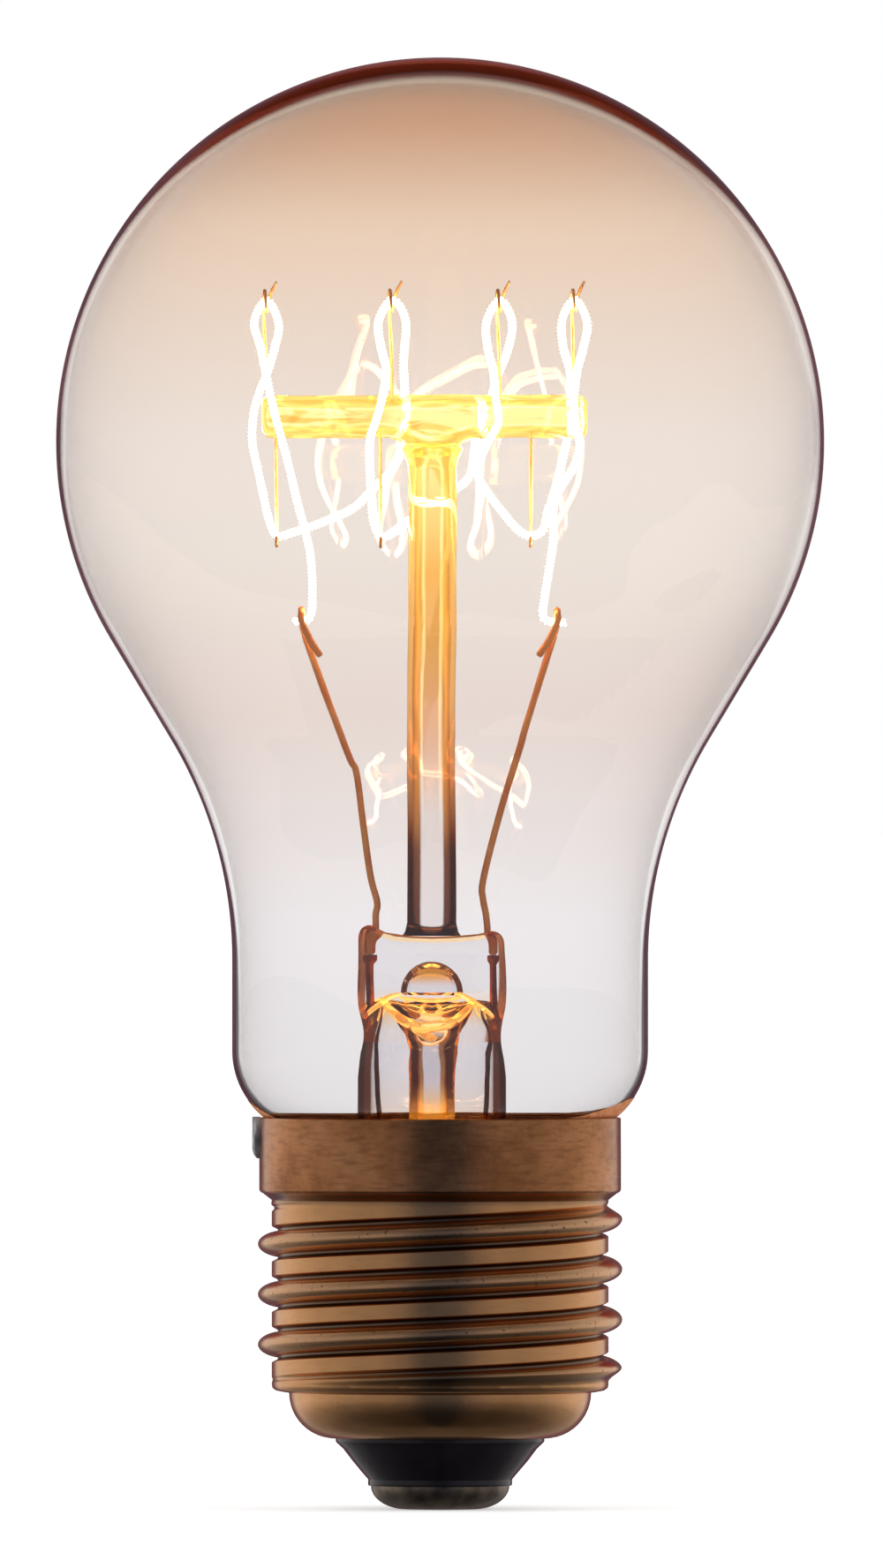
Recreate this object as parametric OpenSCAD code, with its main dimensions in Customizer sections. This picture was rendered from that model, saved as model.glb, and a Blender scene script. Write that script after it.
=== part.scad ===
// Filament bulb with a screw cap: a pear-shaped glass envelope, a glass stem that carries a
// cross-bar, and one filament hung in four tall loops between wire hooks.
// The origin is the middle of the centre contact's flat tip. +Z runs up the axis to the crown,
// +X lies along the cross-bar, and the front is the -Y side.

/* [Glass envelope] */
// Outer radius of the globe
globe_r = 27.7; // [26:0.1:30]
// Height of the globe's centre
globe_z = 77; // [76:0.5:82]
// Angle between the shoulder's cone and the axis
shoulder_angle = 31; // [29:0.5:33]
// Radius of the curve from the cone into the neck
shoulder_blend_r = 31; // [26:0.5:33]
// Outer radius of the straight neck
neck_r = 15; // [14.8:0.1:15.4]
// Radius of the turn at the neck's foot
neck_roll_r = 6; // [5:0.1:7]
// Wall of the blown glass
glass_t = 0.6; // [0.5:0.05:0.9]
// Wall at the crown, where the blown glass gathered
crown_t = 1.25; // [0.6:0.05:1.6]

/* [Screw cap] */
// Outer radius of the plain skirt
skirt_r = 13.05; // [12.9:0.05:13.2]
// Height of the skirt's top edge
skirt_top_z = 28.25; // [27.5:0.05:29]
// Height where the skirt begins
skirt_bottom_z = 22.8; // [22.4:0.05:23.2]
// Thread pitch of an E27 cap, 7 turns to the inch
thread_pitch = 3.629; // [3.5:0.001:3.7]
// Outer radius at the thread's crest
thread_crest_r = 13.15; // [13:0.05:13.25]
// Outer radius of the flat band between two crests
thread_band_r = 12.15; // [12:0.05:12.3]
// Outer radius of the groove beside a crest
thread_groove_r = 11.7; // [11.6:0.05:11.9]
// Half the height of a crest
thread_crest_half = 0.9; // [0.8:0.05:1]
// Height of the middle crest, on the left side
thread_mid_z = 15.5; // [15:0.1:16]
// Height where the thread ends at the top
thread_top_z = 22.3; // [22:0.1:22.4]
// Height where the thread begins at the bottom
thread_bottom_z = 9; // [8.8:0.1:9.2]
// Thickness of the rolled brass sheet
sheet_t = 0.3; // [0.25:0.01:0.35]
// Width of the cement between the neck's foot and the skirt
cement_w = 0.75; // [0.6:0.05:0.9]
// Gap above and below the lead wire that passes under the neck's foot
lead_pass_gap = 0.2; // [0.1:0.05:0.3]
// Radius of the rounded bottom edge
dome_r = 3.3; // [3:0.1:3.5]
// Radius of the opening in the shell's bottom
shell_mouth_r = 7.6; // [7.2:0.1:7.8]
// Height of the shell's bottom face
shell_base_z = 5.1; // [5:0.05:5.3]

/* [Contact and insulator] */
// Radius of the insulator's lower end
insulator_tip_r = 5.2; // [5:0.1:5.6]
// Height of the insulator's lower end
insulator_tip_z = 1.7; // [1.5:0.1:2]
// Radius of the contact button
contact_r = 5; // [4.8:0.1:5.2]
// Radius of the contact's flat tip
contact_flat_r = 2.5; // [2:0.1:3]
// Thickness of the contact's plate
contact_t = 0.5; // [0.4:0.05:0.6]
// Radius of the hole in the contact, filled with solder
contact_hole_r = 1.1; // [0.9:0.05:1.3]
// Radius of the wire hole through the insulator
insulator_hole_r = 0.9; // [0.7:0.05:1]

/* [Stem] */
// How far the stem stands off the axis, as sealed by hand
stem_x = -0.6; // [-0.8:0.1:0.8]
// Outer radius of the flare tube
flare_r = 5.35; // [5.2:0.05:5.6]
// Wall of the flare tube
flare_t = 0.9; // [0.7:0.05:1]
// Radius of the flare's trumpet curve
trumpet_r = 6; // [5.6:0.1:6.4]
// Height where the round tube ends and the press begins
press_bottom_z = 33; // [32.5:0.1:33.5]
// Height where the press is flat
press_flat_z = 36.8; // [36.4:0.1:37.2]
// Height of the press's top
press_top_z = 41.8; // [41.4:0.1:42.4]
// Width of the press
press_w = 10.6; // [10.4:0.1:11]
// Thickness of the press
press_t = 4.4; // [4.2:0.1:5]
// Outer radius of the exhaust tube
exhaust_r = 1.65; // [1.5:0.05:1.8]
// Wall of the exhaust tube
exhaust_t = 0.6; // [0.5:0.05:0.7]
// Height of the exhaust tube's sealed tip
exhaust_tip_z = 13; // [12.5:0.5:16]
// Radius of the arbor rod
arbor_r = 1.75; // [1.5:0.05:2]
// Radius of the cross-bar
bar_r = 1.55; // [1.4:0.05:1.7]
// Length of the cross-bar
bar_length = 23.4; // [23:0.1:23.8]
// How far the cross-bar's middle stands off the stem
bar_shift = -0.5; // [-0.7:0.1:-0.2]
// Height of the cross-bar's axis
bar_z = 78.8; // [77.5:0.1:80]
// Radius of the melted edge at the cross-bar's ends
bar_edge_r = 0.6; // [0.3:0.1:1]

/* [Wires] */
// Diameter of the inner lead wires
lead_d = 0.5; // [0.4:0.05:0.6]
// Diameter of the seal and outer lead wires
seal_wire_d = 0.4; // [0.3:0.05:0.5]
// Distance of each lead wire from the stem's axis, in the press
lead_spread = 4; // [3.8:0.05:4]
// Depth of the inner lead wires in the press
lead_depth = 1.8; // [1.5:0.1:2.2]
// Diameter of the hook wires
hook_d = 0.25; // [0.2:0.01:0.3]
// Depth of the hook wires in the cross-bar
hook_depth = 0.8; // [0.5:0.1:1]

/* [Filament] */
// Diameter of the filament's strand
filament_d = 0.9; // [0.7:0.05:1]
// Height of the loop tops above the cross-bar's axis
upper_rise = 8.5; // [8:0.1:9]
// Depth of the lower bends below the cross-bar's axis
lower_drop = 8.6; // [8.2:0.1:9]
// Depth of the two clamps below the cross-bar's axis
clamp_drop = 14.8; // [14.4:0.1:15.4]
// Gap between the filament and the wires that hold it
hook_gap = 0.15; // [0.12:0.01:0.2]

/* [Hidden] */

$fn = 64;
// Running gap of two pieces that only nearly touch
fit_gap = 0.06;
// Extra radius of a channel round a wire
wire_gap = 0.03;
// Overshoot of a cutting tool past the face that it cuts
cut = 0.5;
// Thickness of a thin slice, used as one end of a blended form
slice = 0.1;
// Angle between two points on a turned glass profile
arc_step = 4;

// Places along X of the hooks and the clamps
upper_hook_x = [-12.5, -3.5, 4.3, 9.7];
lower_hook_x = [-11.8, -4.3, 6.6];
left_clamp_x = -10;
right_clamp_x = 8.5;

// Bends of the inner leads: [offset from the foot along X, share of the rise to the clamp]
left_lead_bends = [[0, 0.05], [0.1, 0.09], [-0.4, 0.18], [-1, 0.36], [-1.5, 0.52], [-2.1, 0.58]];
right_lead_bends = [[-0.1, 0.05], [-0.3, 0.1], [-0.3, 0.16], [0.8, 0.36], [2, 0.55]];

skirt_in_r = skirt_r - sheet_t;
// The glass reaches the skirt's rim with a small gap all round
glass_rim_r = skirt_in_r - 2 * fit_gap;
neck_roll_x = neck_r - neck_roll_r;
neck_roll_z = skirt_top_z + sqrt(pow(neck_roll_r, 2) - pow(glass_rim_r - neck_roll_x, 2));
// The neck's foot stands in the skirt's cement, and the outer lead wire passes under it
neck_foot_r = skirt_in_r - cement_w;
neck_foot_z = skirt_bottom_z + sheet_t + seal_wire_d + 2 * lead_pass_gap;
// The narrower of the thread's inside and the neck's foot, round which the lead wire turns
lead_pass_r = min(thread_band_r - sheet_t, neck_foot_r);
neck_foot_angle = acos((neck_foot_r - neck_roll_x) / neck_roll_r);
neck_foot_bend_z = neck_roll_z - neck_roll_r * sin(neck_foot_angle);

// The shoulder's cone leaves the globe and meets the blend at the same slope
cone_top = [globe_r * cos(shoulder_angle), globe_z - globe_r * sin(shoulder_angle)];
blend_x = neck_r + shoulder_blend_r;
cone_end_r = blend_x - shoulder_blend_r * cos(shoulder_angle);
cone_end_z = cone_top[1] - (cone_top[0] - cone_end_r) / tan(shoulder_angle);
blend_z = cone_end_z - shoulder_blend_r * sin(shoulder_angle);

trumpet_top_z = neck_foot_z + flare_t + trumpet_r;
cavity_top_z = press_flat_z - 0.4;
lead_x = [stem_x - lead_spread, stem_x + lead_spread];
wire_hole_r = lead_d / 2 + wire_gap;
seal_channel_r = seal_wire_d / 2 + wire_gap;
hook_hole_r = hook_d / 2 + wire_gap;
seal_bottom_z = cavity_top_z;
seal_top_z = press_top_z - lead_depth;
bar_x = stem_x + bar_shift;
bar_bottom_z = bar_z - bar_r;
collar_z = bar_bottom_z - 1.2;
eye_r = (filament_d + hook_d) / 2 + hook_gap;
clamp_z = bar_z - clamp_drop;
cement_r = skirt_in_r - fit_gap;
cement_wire_x = -(neck_foot_r + cement_r) / 2;
solder_z = skirt_top_z - 1.15;
dome_z = shell_base_z + dome_r;

// Points on a circular arc, from one angle to another
function arc_points(x, z, r, from, to) =
    let (steps = max(1, ceil(abs(to - from) / arc_step)))
    [for (i = [0 : steps]) let (a = from + (to - from) * i / steps) [x + r * cos(a), z + r * sin(a)]];

// Points on the globe, whose inset grows from the equator to the crown
function globe_points(inset, crown_inset) =
    let (steps = ceil((90 + shoulder_angle) / arc_step))
    [for (i = [0 : steps]) let (a = 90 - (90 + shoulder_angle) * i / steps)
        let (r = globe_r - inset - (crown_inset - inset) * pow(max(0, sin(a)), 3))
        [i == 0 ? 0 : r * cos(a), globe_z + r * sin(a)]];

// One side of the envelope's glass, from the crown down to the foot
function glass_side(inset, crown_inset) = concat(
    globe_points(inset, crown_inset),
    arc_points(blend_x, blend_z, shoulder_blend_r + inset, 180 - shoulder_angle, 180),
    arc_points(neck_roll_x, neck_roll_z, neck_roll_r - inset, 0, -neck_foot_angle),
    [[neck_foot_r - inset, neck_foot_bend_z - inset], [neck_foot_r - inset, neck_foot_z]]);

module envelope() {
    inner = glass_side(glass_t, crown_t);
    color([0.92, 0.88, 0.85, 0.35])
        rotate_extrude()
            polygon(concat(glass_side(0, 0), [for (i = [len(inner) - 1 : -1 : 0]) inner[i]]));
}

// A tube swept along a path. The frame is carried from ring to ring without twist.
function unit(v) = v / norm(v);
function tangents(path) = [for (i = [0 : len(path) - 1])
    unit(path[min(i + 1, len(path) - 1)] - path[max(i - 1, 0)])];
function carried(t, i, last) = i >= len(t) ? [] :
    let (n = unit(last - (last * t[i]) * t[i])) concat([n], carried(t, i + 1, n));

module swept_tube(path, r, sides) {
    t = tangents(path);
    side = abs(t[0][1]) < 0.9 ? [0, 1, 0] : [1, 0, 0];
    n = carried(t, 0, side);
    rings = len(path);
    points = [for (i = [0 : rings - 1]) let (b = cross(t[i], n[i])) for (k = [0 : sides - 1])
        path[i] + r * (cos(360 * k / sides) * n[i] + sin(360 * k / sides) * b)];
    walls = [for (i = [0 : rings - 2]) for (k = [0 : sides - 1])
        let (a = i * sides + k, b = i * sides + (k + 1) % sides)
        for (f = [[a, a + sides, b], [b, a + sides, b + sides]]) f];
    start_cap = [for (k = [1 : sides - 2]) [0, k, k + 1]];
    last = (rings - 1) * sides;
    end_cap = [for (k = [1 : sides - 2]) [last, last + k + 1, last + k]];
    polyhedron(points, concat(walls, start_cap, end_cap));
}

// A smooth curve through hand-chosen points, with some steps between each two
function curve_point(p, i, u) =
    let (a = p[max(i - 1, 0)], b = p[i], c = p[i + 1], d = p[min(i + 2, len(p) - 1)])
    0.5 * ((2 * b) + (c - a) * u + (2 * a - 5 * b + 4 * c - d) * u * u
        + (3 * b - a - 3 * c + d) * u * u * u);
function smooth_path(p, steps) = concat(
    [for (i = [0 : len(p) - 2]) for (k = [0 : steps - 1]) curve_point(p, i, k / steps)],
    [p[len(p) - 1]]);

// Screw shell: one rolled sheet, whose wall is a height field round the axis
shell_columns = 40;
thread_row_h = 0.3;
fade_h = 1.3;

function smooth_step(x) = let (t = min(1, max(0, x))) t * t * (3 - 2 * t);

// Distance above the nearest crest, which climbs by one pitch in each right-hand turn
function crest_distance(z, angle) =
    let (turns = (z - thread_mid_z) / thread_pitch - (angle - 180) / 360)
    (turns - round(turns)) * thread_pitch;

// Radius of the rolled profile: a round crest, a groove on each side, then a flat band
groove_half = 0.12;
band_edge_h = 0.3;
crest_rise = thread_crest_r - thread_groove_r;
band_rise = thread_band_r - thread_groove_r;
function rolled_r(d) =
    let (a = abs(d))
    thread_groove_r + (a < thread_crest_half
        ? crest_rise * pow(1 - pow(a / thread_crest_half, 2), 0.6)
        : band_rise * smooth_step((a - thread_crest_half - groove_half) / band_edge_h));

function thread_r(z, angle) =
    let (fade = smooth_step((thread_top_z - z) / fade_h) * smooth_step((z - thread_bottom_z) / fade_h))
    thread_band_r + (rolled_r(crest_distance(z, angle)) - thread_band_r) * fade;

// The sheet's inner face stays a wall away from the outer one, also on the steep flanks
function thread_in_r(z, angle) =
    min([for (dz = [-sheet_t, 0, sheet_t]) thread_r(z + dz, angle)]) - sheet_t * 0.85;

// The rim is notched on the left side, where the outer lead wire passes over it
notch_h = skirt_top_z - solder_z + 1.4 * seal_wire_d;
function rim_z(angle) = skirt_top_z
    - notch_h * max(0, 1 - abs(angle - 180) * shell_columns / 360);

thread_rows = round((thread_top_z - thread_bottom_z) / thread_row_h);
function thread_row_z(i) = thread_bottom_z + (thread_top_z - thread_bottom_z) * i / thread_rows;

// Points round the bottom edge of the shell, in steps of 15 degrees
function dome_points(r, angles) = [for (a = angles) [shell_mouth_r + r * cos(a), dome_z + r * sin(a)]];

// The step under the skirt keeps its wall, whether the skirt is wider than the thread or narrower
skirt_widens = skirt_r > thread_band_r;
step_points = skirt_widens
    ? [[skirt_in_r, skirt_bottom_z + sheet_t], [thread_band_r - sheet_t * 0.4, thread_top_z + sheet_t]]
    : [[skirt_in_r, skirt_bottom_z], [thread_band_r - sheet_t * 0.9, thread_top_z + 0.01]];

// One column of the sheet, down the inside and up the outside
function shell_column(angle) = concat(
    [[skirt_in_r, rim_z(angle)]], step_points,
    [for (i = [thread_rows : -1 : 0]) let (z = thread_row_z(i)) [thread_in_r(z, angle), z]],
    dome_points(dome_r - sheet_t, [0 : -15 : -90]),
    dome_points(dome_r, [-90 : 15 : 0]),
    [for (i = [0 : thread_rows]) let (z = thread_row_z(i)) [thread_r(z, angle), z]],
    [[skirt_r, skirt_bottom_z], [skirt_r, rim_z(angle)]]);

module screw_shell() {
    columns = [for (c = [0 : shell_columns - 1]) shell_column(360 * c / shell_columns)];
    rows = len(columns[0]);
    points = [for (c = [0 : shell_columns - 1]) let (a = 360 * c / shell_columns)
        for (p = columns[c]) [p[0] * cos(a), p[0] * sin(a), p[1]]];
    faces = [for (c = [0 : shell_columns - 1]) for (i = [0 : rows - 1])
        let (j = (i + 1) % rows, d = (c + 1) % shell_columns)
        for (f = [[c * rows + i, c * rows + j, d * rows + i],
                [c * rows + j, d * rows + j, d * rows + i]]) f];
    color([0.72, 0.55, 0.3]) polyhedron(points, faces);
}

// Outline of the contact button's outer face, inset by a wall
function button_side(inset) = [for (a = [0 : 10 : 90])
    [contact_flat_r + (contact_r - contact_flat_r - inset) * cos(a),
        insulator_tip_z - (insulator_tip_z - inset) * sin(a)]];

module cap_insulator() {
    boss = button_side(contact_t);
    body_arc = dome_r - sheet_t - fit_gap;
    color([0.05, 0.05, 0.06])
        difference() {
            rotate_extrude()
                polygon(concat([[0, contact_t]], [for (i = [len(boss) - 1 : -1 : 0]) boss[i]],
                    [[insulator_tip_r, insulator_tip_z], [shell_mouth_r - fit_gap, shell_base_z - 0.2],
                        [shell_mouth_r - fit_gap, dome_z - body_arc]],
                    arc_points(shell_mouth_r, dome_z, body_arc, -90 + arc_step, 0),
                    [[shell_mouth_r + body_arc, dome_z + 0.5], [0, dome_z + 0.5]]));
            cylinder(r = insulator_hole_r, h = dome_z + 1);
        }
}

module centre_contact() {
    outer = button_side(0);
    inner = button_side(contact_t);
    color([0.68, 0.5, 0.3])
        rotate_extrude()
            polygon(concat([[contact_hole_r, 0]], [for (i = [len(outer) - 1 : -1 : 0]) outer[i]],
                inner, [[contact_hole_r, contact_t]]));
}

module centre_solder() {
    color([0.75, 0.75, 0.76])
        difference() {
            union() {
                cylinder(r = contact_hole_r, h = contact_t);
                cylinder(r = insulator_hole_r, h = contact_t + 1);
            }
            translate([0, 0, contact_t + 0.2]) cylinder(r = seal_channel_r, h = 2);
        }
}

module side_solder() {
    blob_r = 0.75;
    color([0.75, 0.75, 0.76])
        difference() {
            translate([-skirt_r + 0.2, 0, solder_z + 0.1])
                hull() {
                    sphere(r = blob_r, $fn = 32);
                    translate([0, 0, -1.6]) sphere(r = blob_r * 0.8, $fn = 32);
                }
            cylinder(r = skirt_r + 0.02, h = skirt_top_z + cut, $fn = 128);
            translate([-skirt_r, 0, solder_z + 0.1]) rotate([0, 90, 0])
                cylinder(r = seal_channel_r, h = 2, center = true);
        }
}

module basing_cement() {
    color([0.72, 0.42, 0.22])
        difference() {
            translate([0, 0, neck_foot_z + 0.1])
                cylinder(r = cement_r, h = neck_foot_bend_z - neck_foot_z - 0.15);
            cylinder(r = neck_foot_r, h = skirt_top_z + cut);
            translate([cement_wire_x, 0, neck_foot_z - cut])
                cylinder(r = seal_channel_r, h = skirt_top_z);
            translate([cement_wire_x, 0, solder_z + 0.1]) rotate([0, -90, 0])
                cylinder(r = 2 * seal_channel_r, h = 1);
        }
}

// Stem flare: a tube whose foot spreads out to the neck and is fused to it
module stem_flare() {
    outer_x = flare_r + trumpet_r;
    color([0.9, 0.9, 0.92, 0.5])
        intersection() {
            translate([stem_x, 0, 0])
                rotate_extrude()
                    polygon(concat([[flare_r, press_bottom_z]],
                        arc_points(outer_x, trumpet_top_z, trumpet_r, 180, 270),
                        [[outer_x + neck_foot_r, trumpet_top_z - trumpet_r],
                            [outer_x + neck_foot_r, neck_foot_z]],
                        arc_points(outer_x, trumpet_top_z, trumpet_r + flare_t, 270, 180),
                        [[flare_r - flare_t, press_bottom_z]]));
            cylinder(r = neck_foot_r - glass_t, h = press_top_z);
        }
}

// A flat bar with round edges, standing on its end
module press_block(width, thickness, h) {
    edge_x = (width - thickness) / 2;
    translate([-edge_x, -thickness / 2, 0]) cube([2 * edge_x, thickness, h]);
    for (x = [-edge_x, edge_x]) translate([x, 0, 0]) cylinder(r = thickness / 2, h = h);
}

module stem_press() {
    cavity_w = 2 * (lead_spread + lead_d);
    cavity_t = press_t - 2 * flare_t;
    color([0.9, 0.9, 0.92, 0.5])
        translate([stem_x, 0, 0])
            difference() {
                union() {
                    hull() {
                        translate([0, 0, press_bottom_z]) cylinder(r = flare_r, h = slice, $fn = 48);
                        translate([0, 0, press_flat_z - slice])
                            press_block(press_w, press_t, slice, $fn = 24);
                    }
                    translate([0, 0, press_flat_z - slice])
                        press_block(press_w, press_t, press_top_z - press_flat_z + slice);
                }
                hull() {
                    translate([0, 0, press_bottom_z - slice])
                        cylinder(r = flare_r - flare_t, h = slice, $fn = 48);
                    translate([0, 0, cavity_top_z - slice])
                        press_block(cavity_w, cavity_t, slice, $fn = 24);
                }
                translate([0, 0, press_bottom_z - cut])
                    cylinder(r = exhaust_r, h = cavity_top_z - press_bottom_z + cut);
                exhaust_bubble();
                for (x = [-lead_spread, lead_spread])
                    translate([x, 0, cavity_top_z - cut])
                        cylinder(r = wire_hole_r, h = press_top_z - cavity_top_z + 2 * cut);
            }
}

// Blown hollow at the exhaust tube's upper end, with its vent through the press's back
module exhaust_bubble() {
    bubble_r = 1.5;
    bubble_z = cavity_top_z + 1.7;
    hull()
        for (x = [-0.8, 0.8]) translate([x, 0, bubble_z]) sphere(r = bubble_r, $fn = 32);
    translate([0, 0, cavity_top_z - slice]) cylinder(r = exhaust_r - exhaust_t, h = 1.7);
    translate([0, 0, bubble_z]) rotate([-90, 0, 0]) cylinder(r = 0.7, h = press_t);
}

// Exhaust tube: open at the press, melted shut at its lower tip
module exhaust_tube() {
    bore_r = exhaust_r - exhaust_t;
    color([0.9, 0.9, 0.92, 0.5])
        translate([stem_x, 0, 0])
            rotate_extrude()
                polygon(concat([[bore_r, cavity_top_z], [exhaust_r, cavity_top_z]],
                    arc_points(0, exhaust_tip_z + exhaust_r, exhaust_r, 0, -90),
                    arc_points(0, exhaust_tip_z + exhaust_r + exhaust_t, bore_r, -90, 0)));
}

module arbor_rod() {
    color([0.9, 0.9, 0.92, 0.5])
        translate([stem_x, 0, press_top_z]) cylinder(r = arbor_r, h = collar_z - press_top_z);
}

// Cross-bar: a glass bar with melted edges, fused to the rod by a collar
module cross_bar() {
    half = bar_length / 2;
    edge = arc_points(bar_r - bar_edge_r, half - bar_edge_r, bar_edge_r, 0, 90);
    collar_w = 6;
    color([0.9, 0.9, 0.92, 0.5])
        difference() {
            union() {
                translate([bar_x, 0, bar_z]) rotate([0, 90, 0])
                    rotate_extrude()
                        polygon(concat([[0, -half]], [for (p = edge) [bar_r - bar_edge_r, -half]],
                            edge, [[0, half]]));
                hull() {
                    translate([stem_x, 0, collar_z]) cylinder(r = arbor_r, h = 0.1, $fn = 32);
                    translate([stem_x, 0, bar_z]) rotate([0, 90, 0])
                        cylinder(r = bar_r - 0.05, h = collar_w, center = true, $fn = 32);
                }
            }
            for (x = upper_hook_x)
                translate([hook_foot_x(x), 0, bar_z + bar_r - hook_depth])
                    cylinder(r = hook_hole_r, h = hook_depth + cut, $fn = 16);
            for (x = lower_hook_x)
                translate([hook_foot_x(x), 0, bar_bottom_z - cut])
                    cylinder(r = hook_hole_r, h = hook_depth + cut, $fn = 16);
        }
}

// Inner lead wires rise from the press, lean out and fold over the filament's ends
module inner_lead(foot_x, top_x, bends) {
    side = sign(top_x);
    rise = clamp_z - press_top_z;
    // Reach of the fold round the strand, and the places on its two legs
    fold_r = (filament_d + lead_d) / 2 + hook_gap;
    path = concat([[foot_x, 0, seal_top_z], [foot_x, 0, press_top_z - 0.5], [foot_x, 0, press_top_z + 0.1]],
        [for (b = bends) [foot_x + b[0], 0, press_top_z + rise * b[1]]],
        [[top_x - side * 0.6, fold_r, clamp_z - 2], [top_x, fold_r, clamp_z],
            [top_x, fold_r * 0.7, clamp_z + fold_r * 0.7], [top_x, 0, clamp_z + fold_r],
            [top_x, -fold_r * 0.7, clamp_z + fold_r * 0.7], [top_x, -fold_r, clamp_z],
            [top_x - side * 0.6, -fold_r, clamp_z - 1.2], [top_x - side * 1.4, -fold_r, clamp_z - 2.4]]);
    color([0.72, 0.6, 0.5]) swept_tube(smooth_path(path, 3), lead_d / 2, 8);
}

module seal_wire(x) {
    color([0.75, 0.35, 0.25])
        translate([x, 0, seal_bottom_z]) cylinder(r = seal_wire_d / 2, h = seal_top_z - seal_bottom_z);
}

// The left outer lead goes round the neck's foot and up to the solder on the skirt's rim
module lead_outer_left() {
    x = lead_x[0];
    foot = neck_foot_z;
    path = [[x, 0, seal_bottom_z], [x, 0, seal_bottom_z - 5], [x + 0.1, 0, foot + 2.5],
        [x - 1.6, 0, foot - 0.9], [x - 4, 0, foot - 2], [-lead_pass_r + 1.45, 0, foot - 2],
        [-lead_pass_r + 0.45, 0, foot - 1.3], [-lead_pass_r + 0.2, 0, foot - 0.65],
        [-lead_pass_r - 0.1, 0, foot - 0.4], [cement_wire_x + 0.1, 0, foot - 0.25],
        [cement_wire_x, 0, foot + 0.25], [cement_wire_x, 0, foot + 1.2],
        [cement_wire_x, 0, solder_z - 0.5], [cement_wire_x - 0.15, 0, solder_z + 0.1],
        [-skirt_r - 0.1, 0, solder_z + 0.1]];
    color([0.72, 0.5, 0.35]) swept_tube(smooth_path(path, 4), seal_wire_d / 2, 8);
}

// The right outer lead goes down past the exhaust tip and through the insulator
module lead_outer_right() {
    x = lead_x[1];
    path = [[x, 0, seal_bottom_z], [x, 0, seal_bottom_z - 6], [x - 0.3, 0, trumpet_top_z - 6],
        [x - 0.4, 0, exhaust_tip_z + 3], [x - 1.5, 0, exhaust_tip_z - 0.5],
        [0, 0, dome_z + 1.8], [0, 0, dome_z], [0, 0, contact_t + 0.4]];
    color([0.72, 0.5, 0.35]) swept_tube(smooth_path(path, 4), seal_wire_d / 2, 8);
}

// A hook's foot stands in the bar, also where its loop hangs past the bar's end
function hook_foot_x(x) =
    let (reach = bar_length / 2 - bar_edge_r) min(bar_x + reach, max(bar_x - reach, x));

// Upper hook: rises through a loop, takes one turn round the strand and ends in a short tail
module upper_hook(i) {
    x = upper_hook_x[i];
    top_z = bar_z + upper_rise;
    foot_x = hook_foot_x(x);
    bar_top_z = bar_z + bar_r;
    // The turn goes sideways by more than a wire's width, so that it clears itself
    side_step = 0.75 * (hook_d + 0.05);
    under_r = eye_r + 0.1;
    eye = [for (a = [0 : 30 : 360])
        [x + side_step * (a / 270 - 1), eye_r * cos(a),
            top_z + (sin(a) < 0 ? under_r : eye_r) * sin(a)]];
    path = concat(
        smooth_path([[foot_x, 0, bar_top_z - hook_depth], [foot_x, 0, bar_top_z],
            [foot_x, 0, bar_top_z + 0.5], [x - 0.1, 0.1, top_z - 3], [x - side_step, eye_r, top_z - 0.6]], 3),
        eye, [[x + 0.4, eye_r, top_z + 0.8], [x + 0.7, eye_r * 0.8, top_z + 1.4]]);
    color([0.5, 0.35, 0.28]) swept_tube(path, hook_d / 2, 6);
}

// Lower hook: hangs from the bar and curls under a lower bend of the strand
module lower_hook(i) {
    x = lower_hook_x[i];
    low_z = bar_z - lower_drop;
    foot_x = hook_foot_x(x);
    curl = [for (a = [0 : -30 : -180]) [x, eye_r * cos(a), low_z + eye_r * sin(a)]];
    path = concat(
        smooth_path([[foot_x, 0, bar_bottom_z + hook_depth], [foot_x, 0, bar_bottom_z],
            [foot_x, 0, bar_bottom_z - 0.5], [x, 0.3, low_z + 2.5], [x, eye_r, low_z + 0.7]], 3), curl);
    color([0.5, 0.35, 0.28]) swept_tube(path, hook_d / 2, 6);
}

// Height of a filament point: 1 is a loop's top, 0 the bar, -1 a lower bend and -2 a clamp
function strand_z(f) = f >= 0 ? bar_z + f * upper_rise
    : f >= -1 ? bar_z + f * lower_drop
    : bar_z - lower_drop + (f + 1) * (clamp_drop - lower_drop);

// Each group of points hangs from one place along X: [offset from it, Y, height]
strand_from_left_clamp = [[-0.6, 0, -2], [0, 0, -2], [0.5, 0, -1.98], [0.75, -0.1, -1.88],
    [0.8, -0.15, -1.75], [0.8, -0.2, -1.5], [0.7, -0.4, -1.25], [0.4, -0.7, -1],
    [-0.3, -1.2, -0.7], [-0.9, -1.8, -0.4]];
strand_upper_1 = [[0.7, -2.15, 0], [0.1, -1.7, 0.32], [-0.4, -0.9, 0.6], [-0.9, -0.1, 0.82],
    [0, 0, 1], [0.9, 0.1, 0.8], [0.6, 0.8, 0.58], [0.1, 1.2, 0.38], [-0.5, 1.2, 0.2], [-0.95, 0.9, 0],
    [-1.05, 0.8, -0.22]];
strand_lower_1 = [[-1.4, 0.6, -0.43], [-1, 0.4, -0.65], [-0.6, 0.2, -0.85], [0, 0, -1],
    [1.2, 0.3, -0.97], [2.6, 0.7, -0.92]];
strand_lower_2_rise = [[-3.4, 0.9, -0.85], [-1.8, 1.2, -0.76], [-0.3, 1.6, -0.58], [0.7, 1.9, -0.46]];
strand_upper_2 = [[0.8, 2.15, -0.25], [1, 2.15, 0], [0.8, 1.4, 0.45], [0.95, 0.1, 0.83], [0, 0, 1],
    [-0.95, -0.1, 0.82], [-0.8, -0.8, 0.6], [-0.4, -1.5, 0.4], [-0.6, -2.1, 0.2], [-1, -2.15, 0],
    [-1.5, -2.1, -0.2]];
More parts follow.
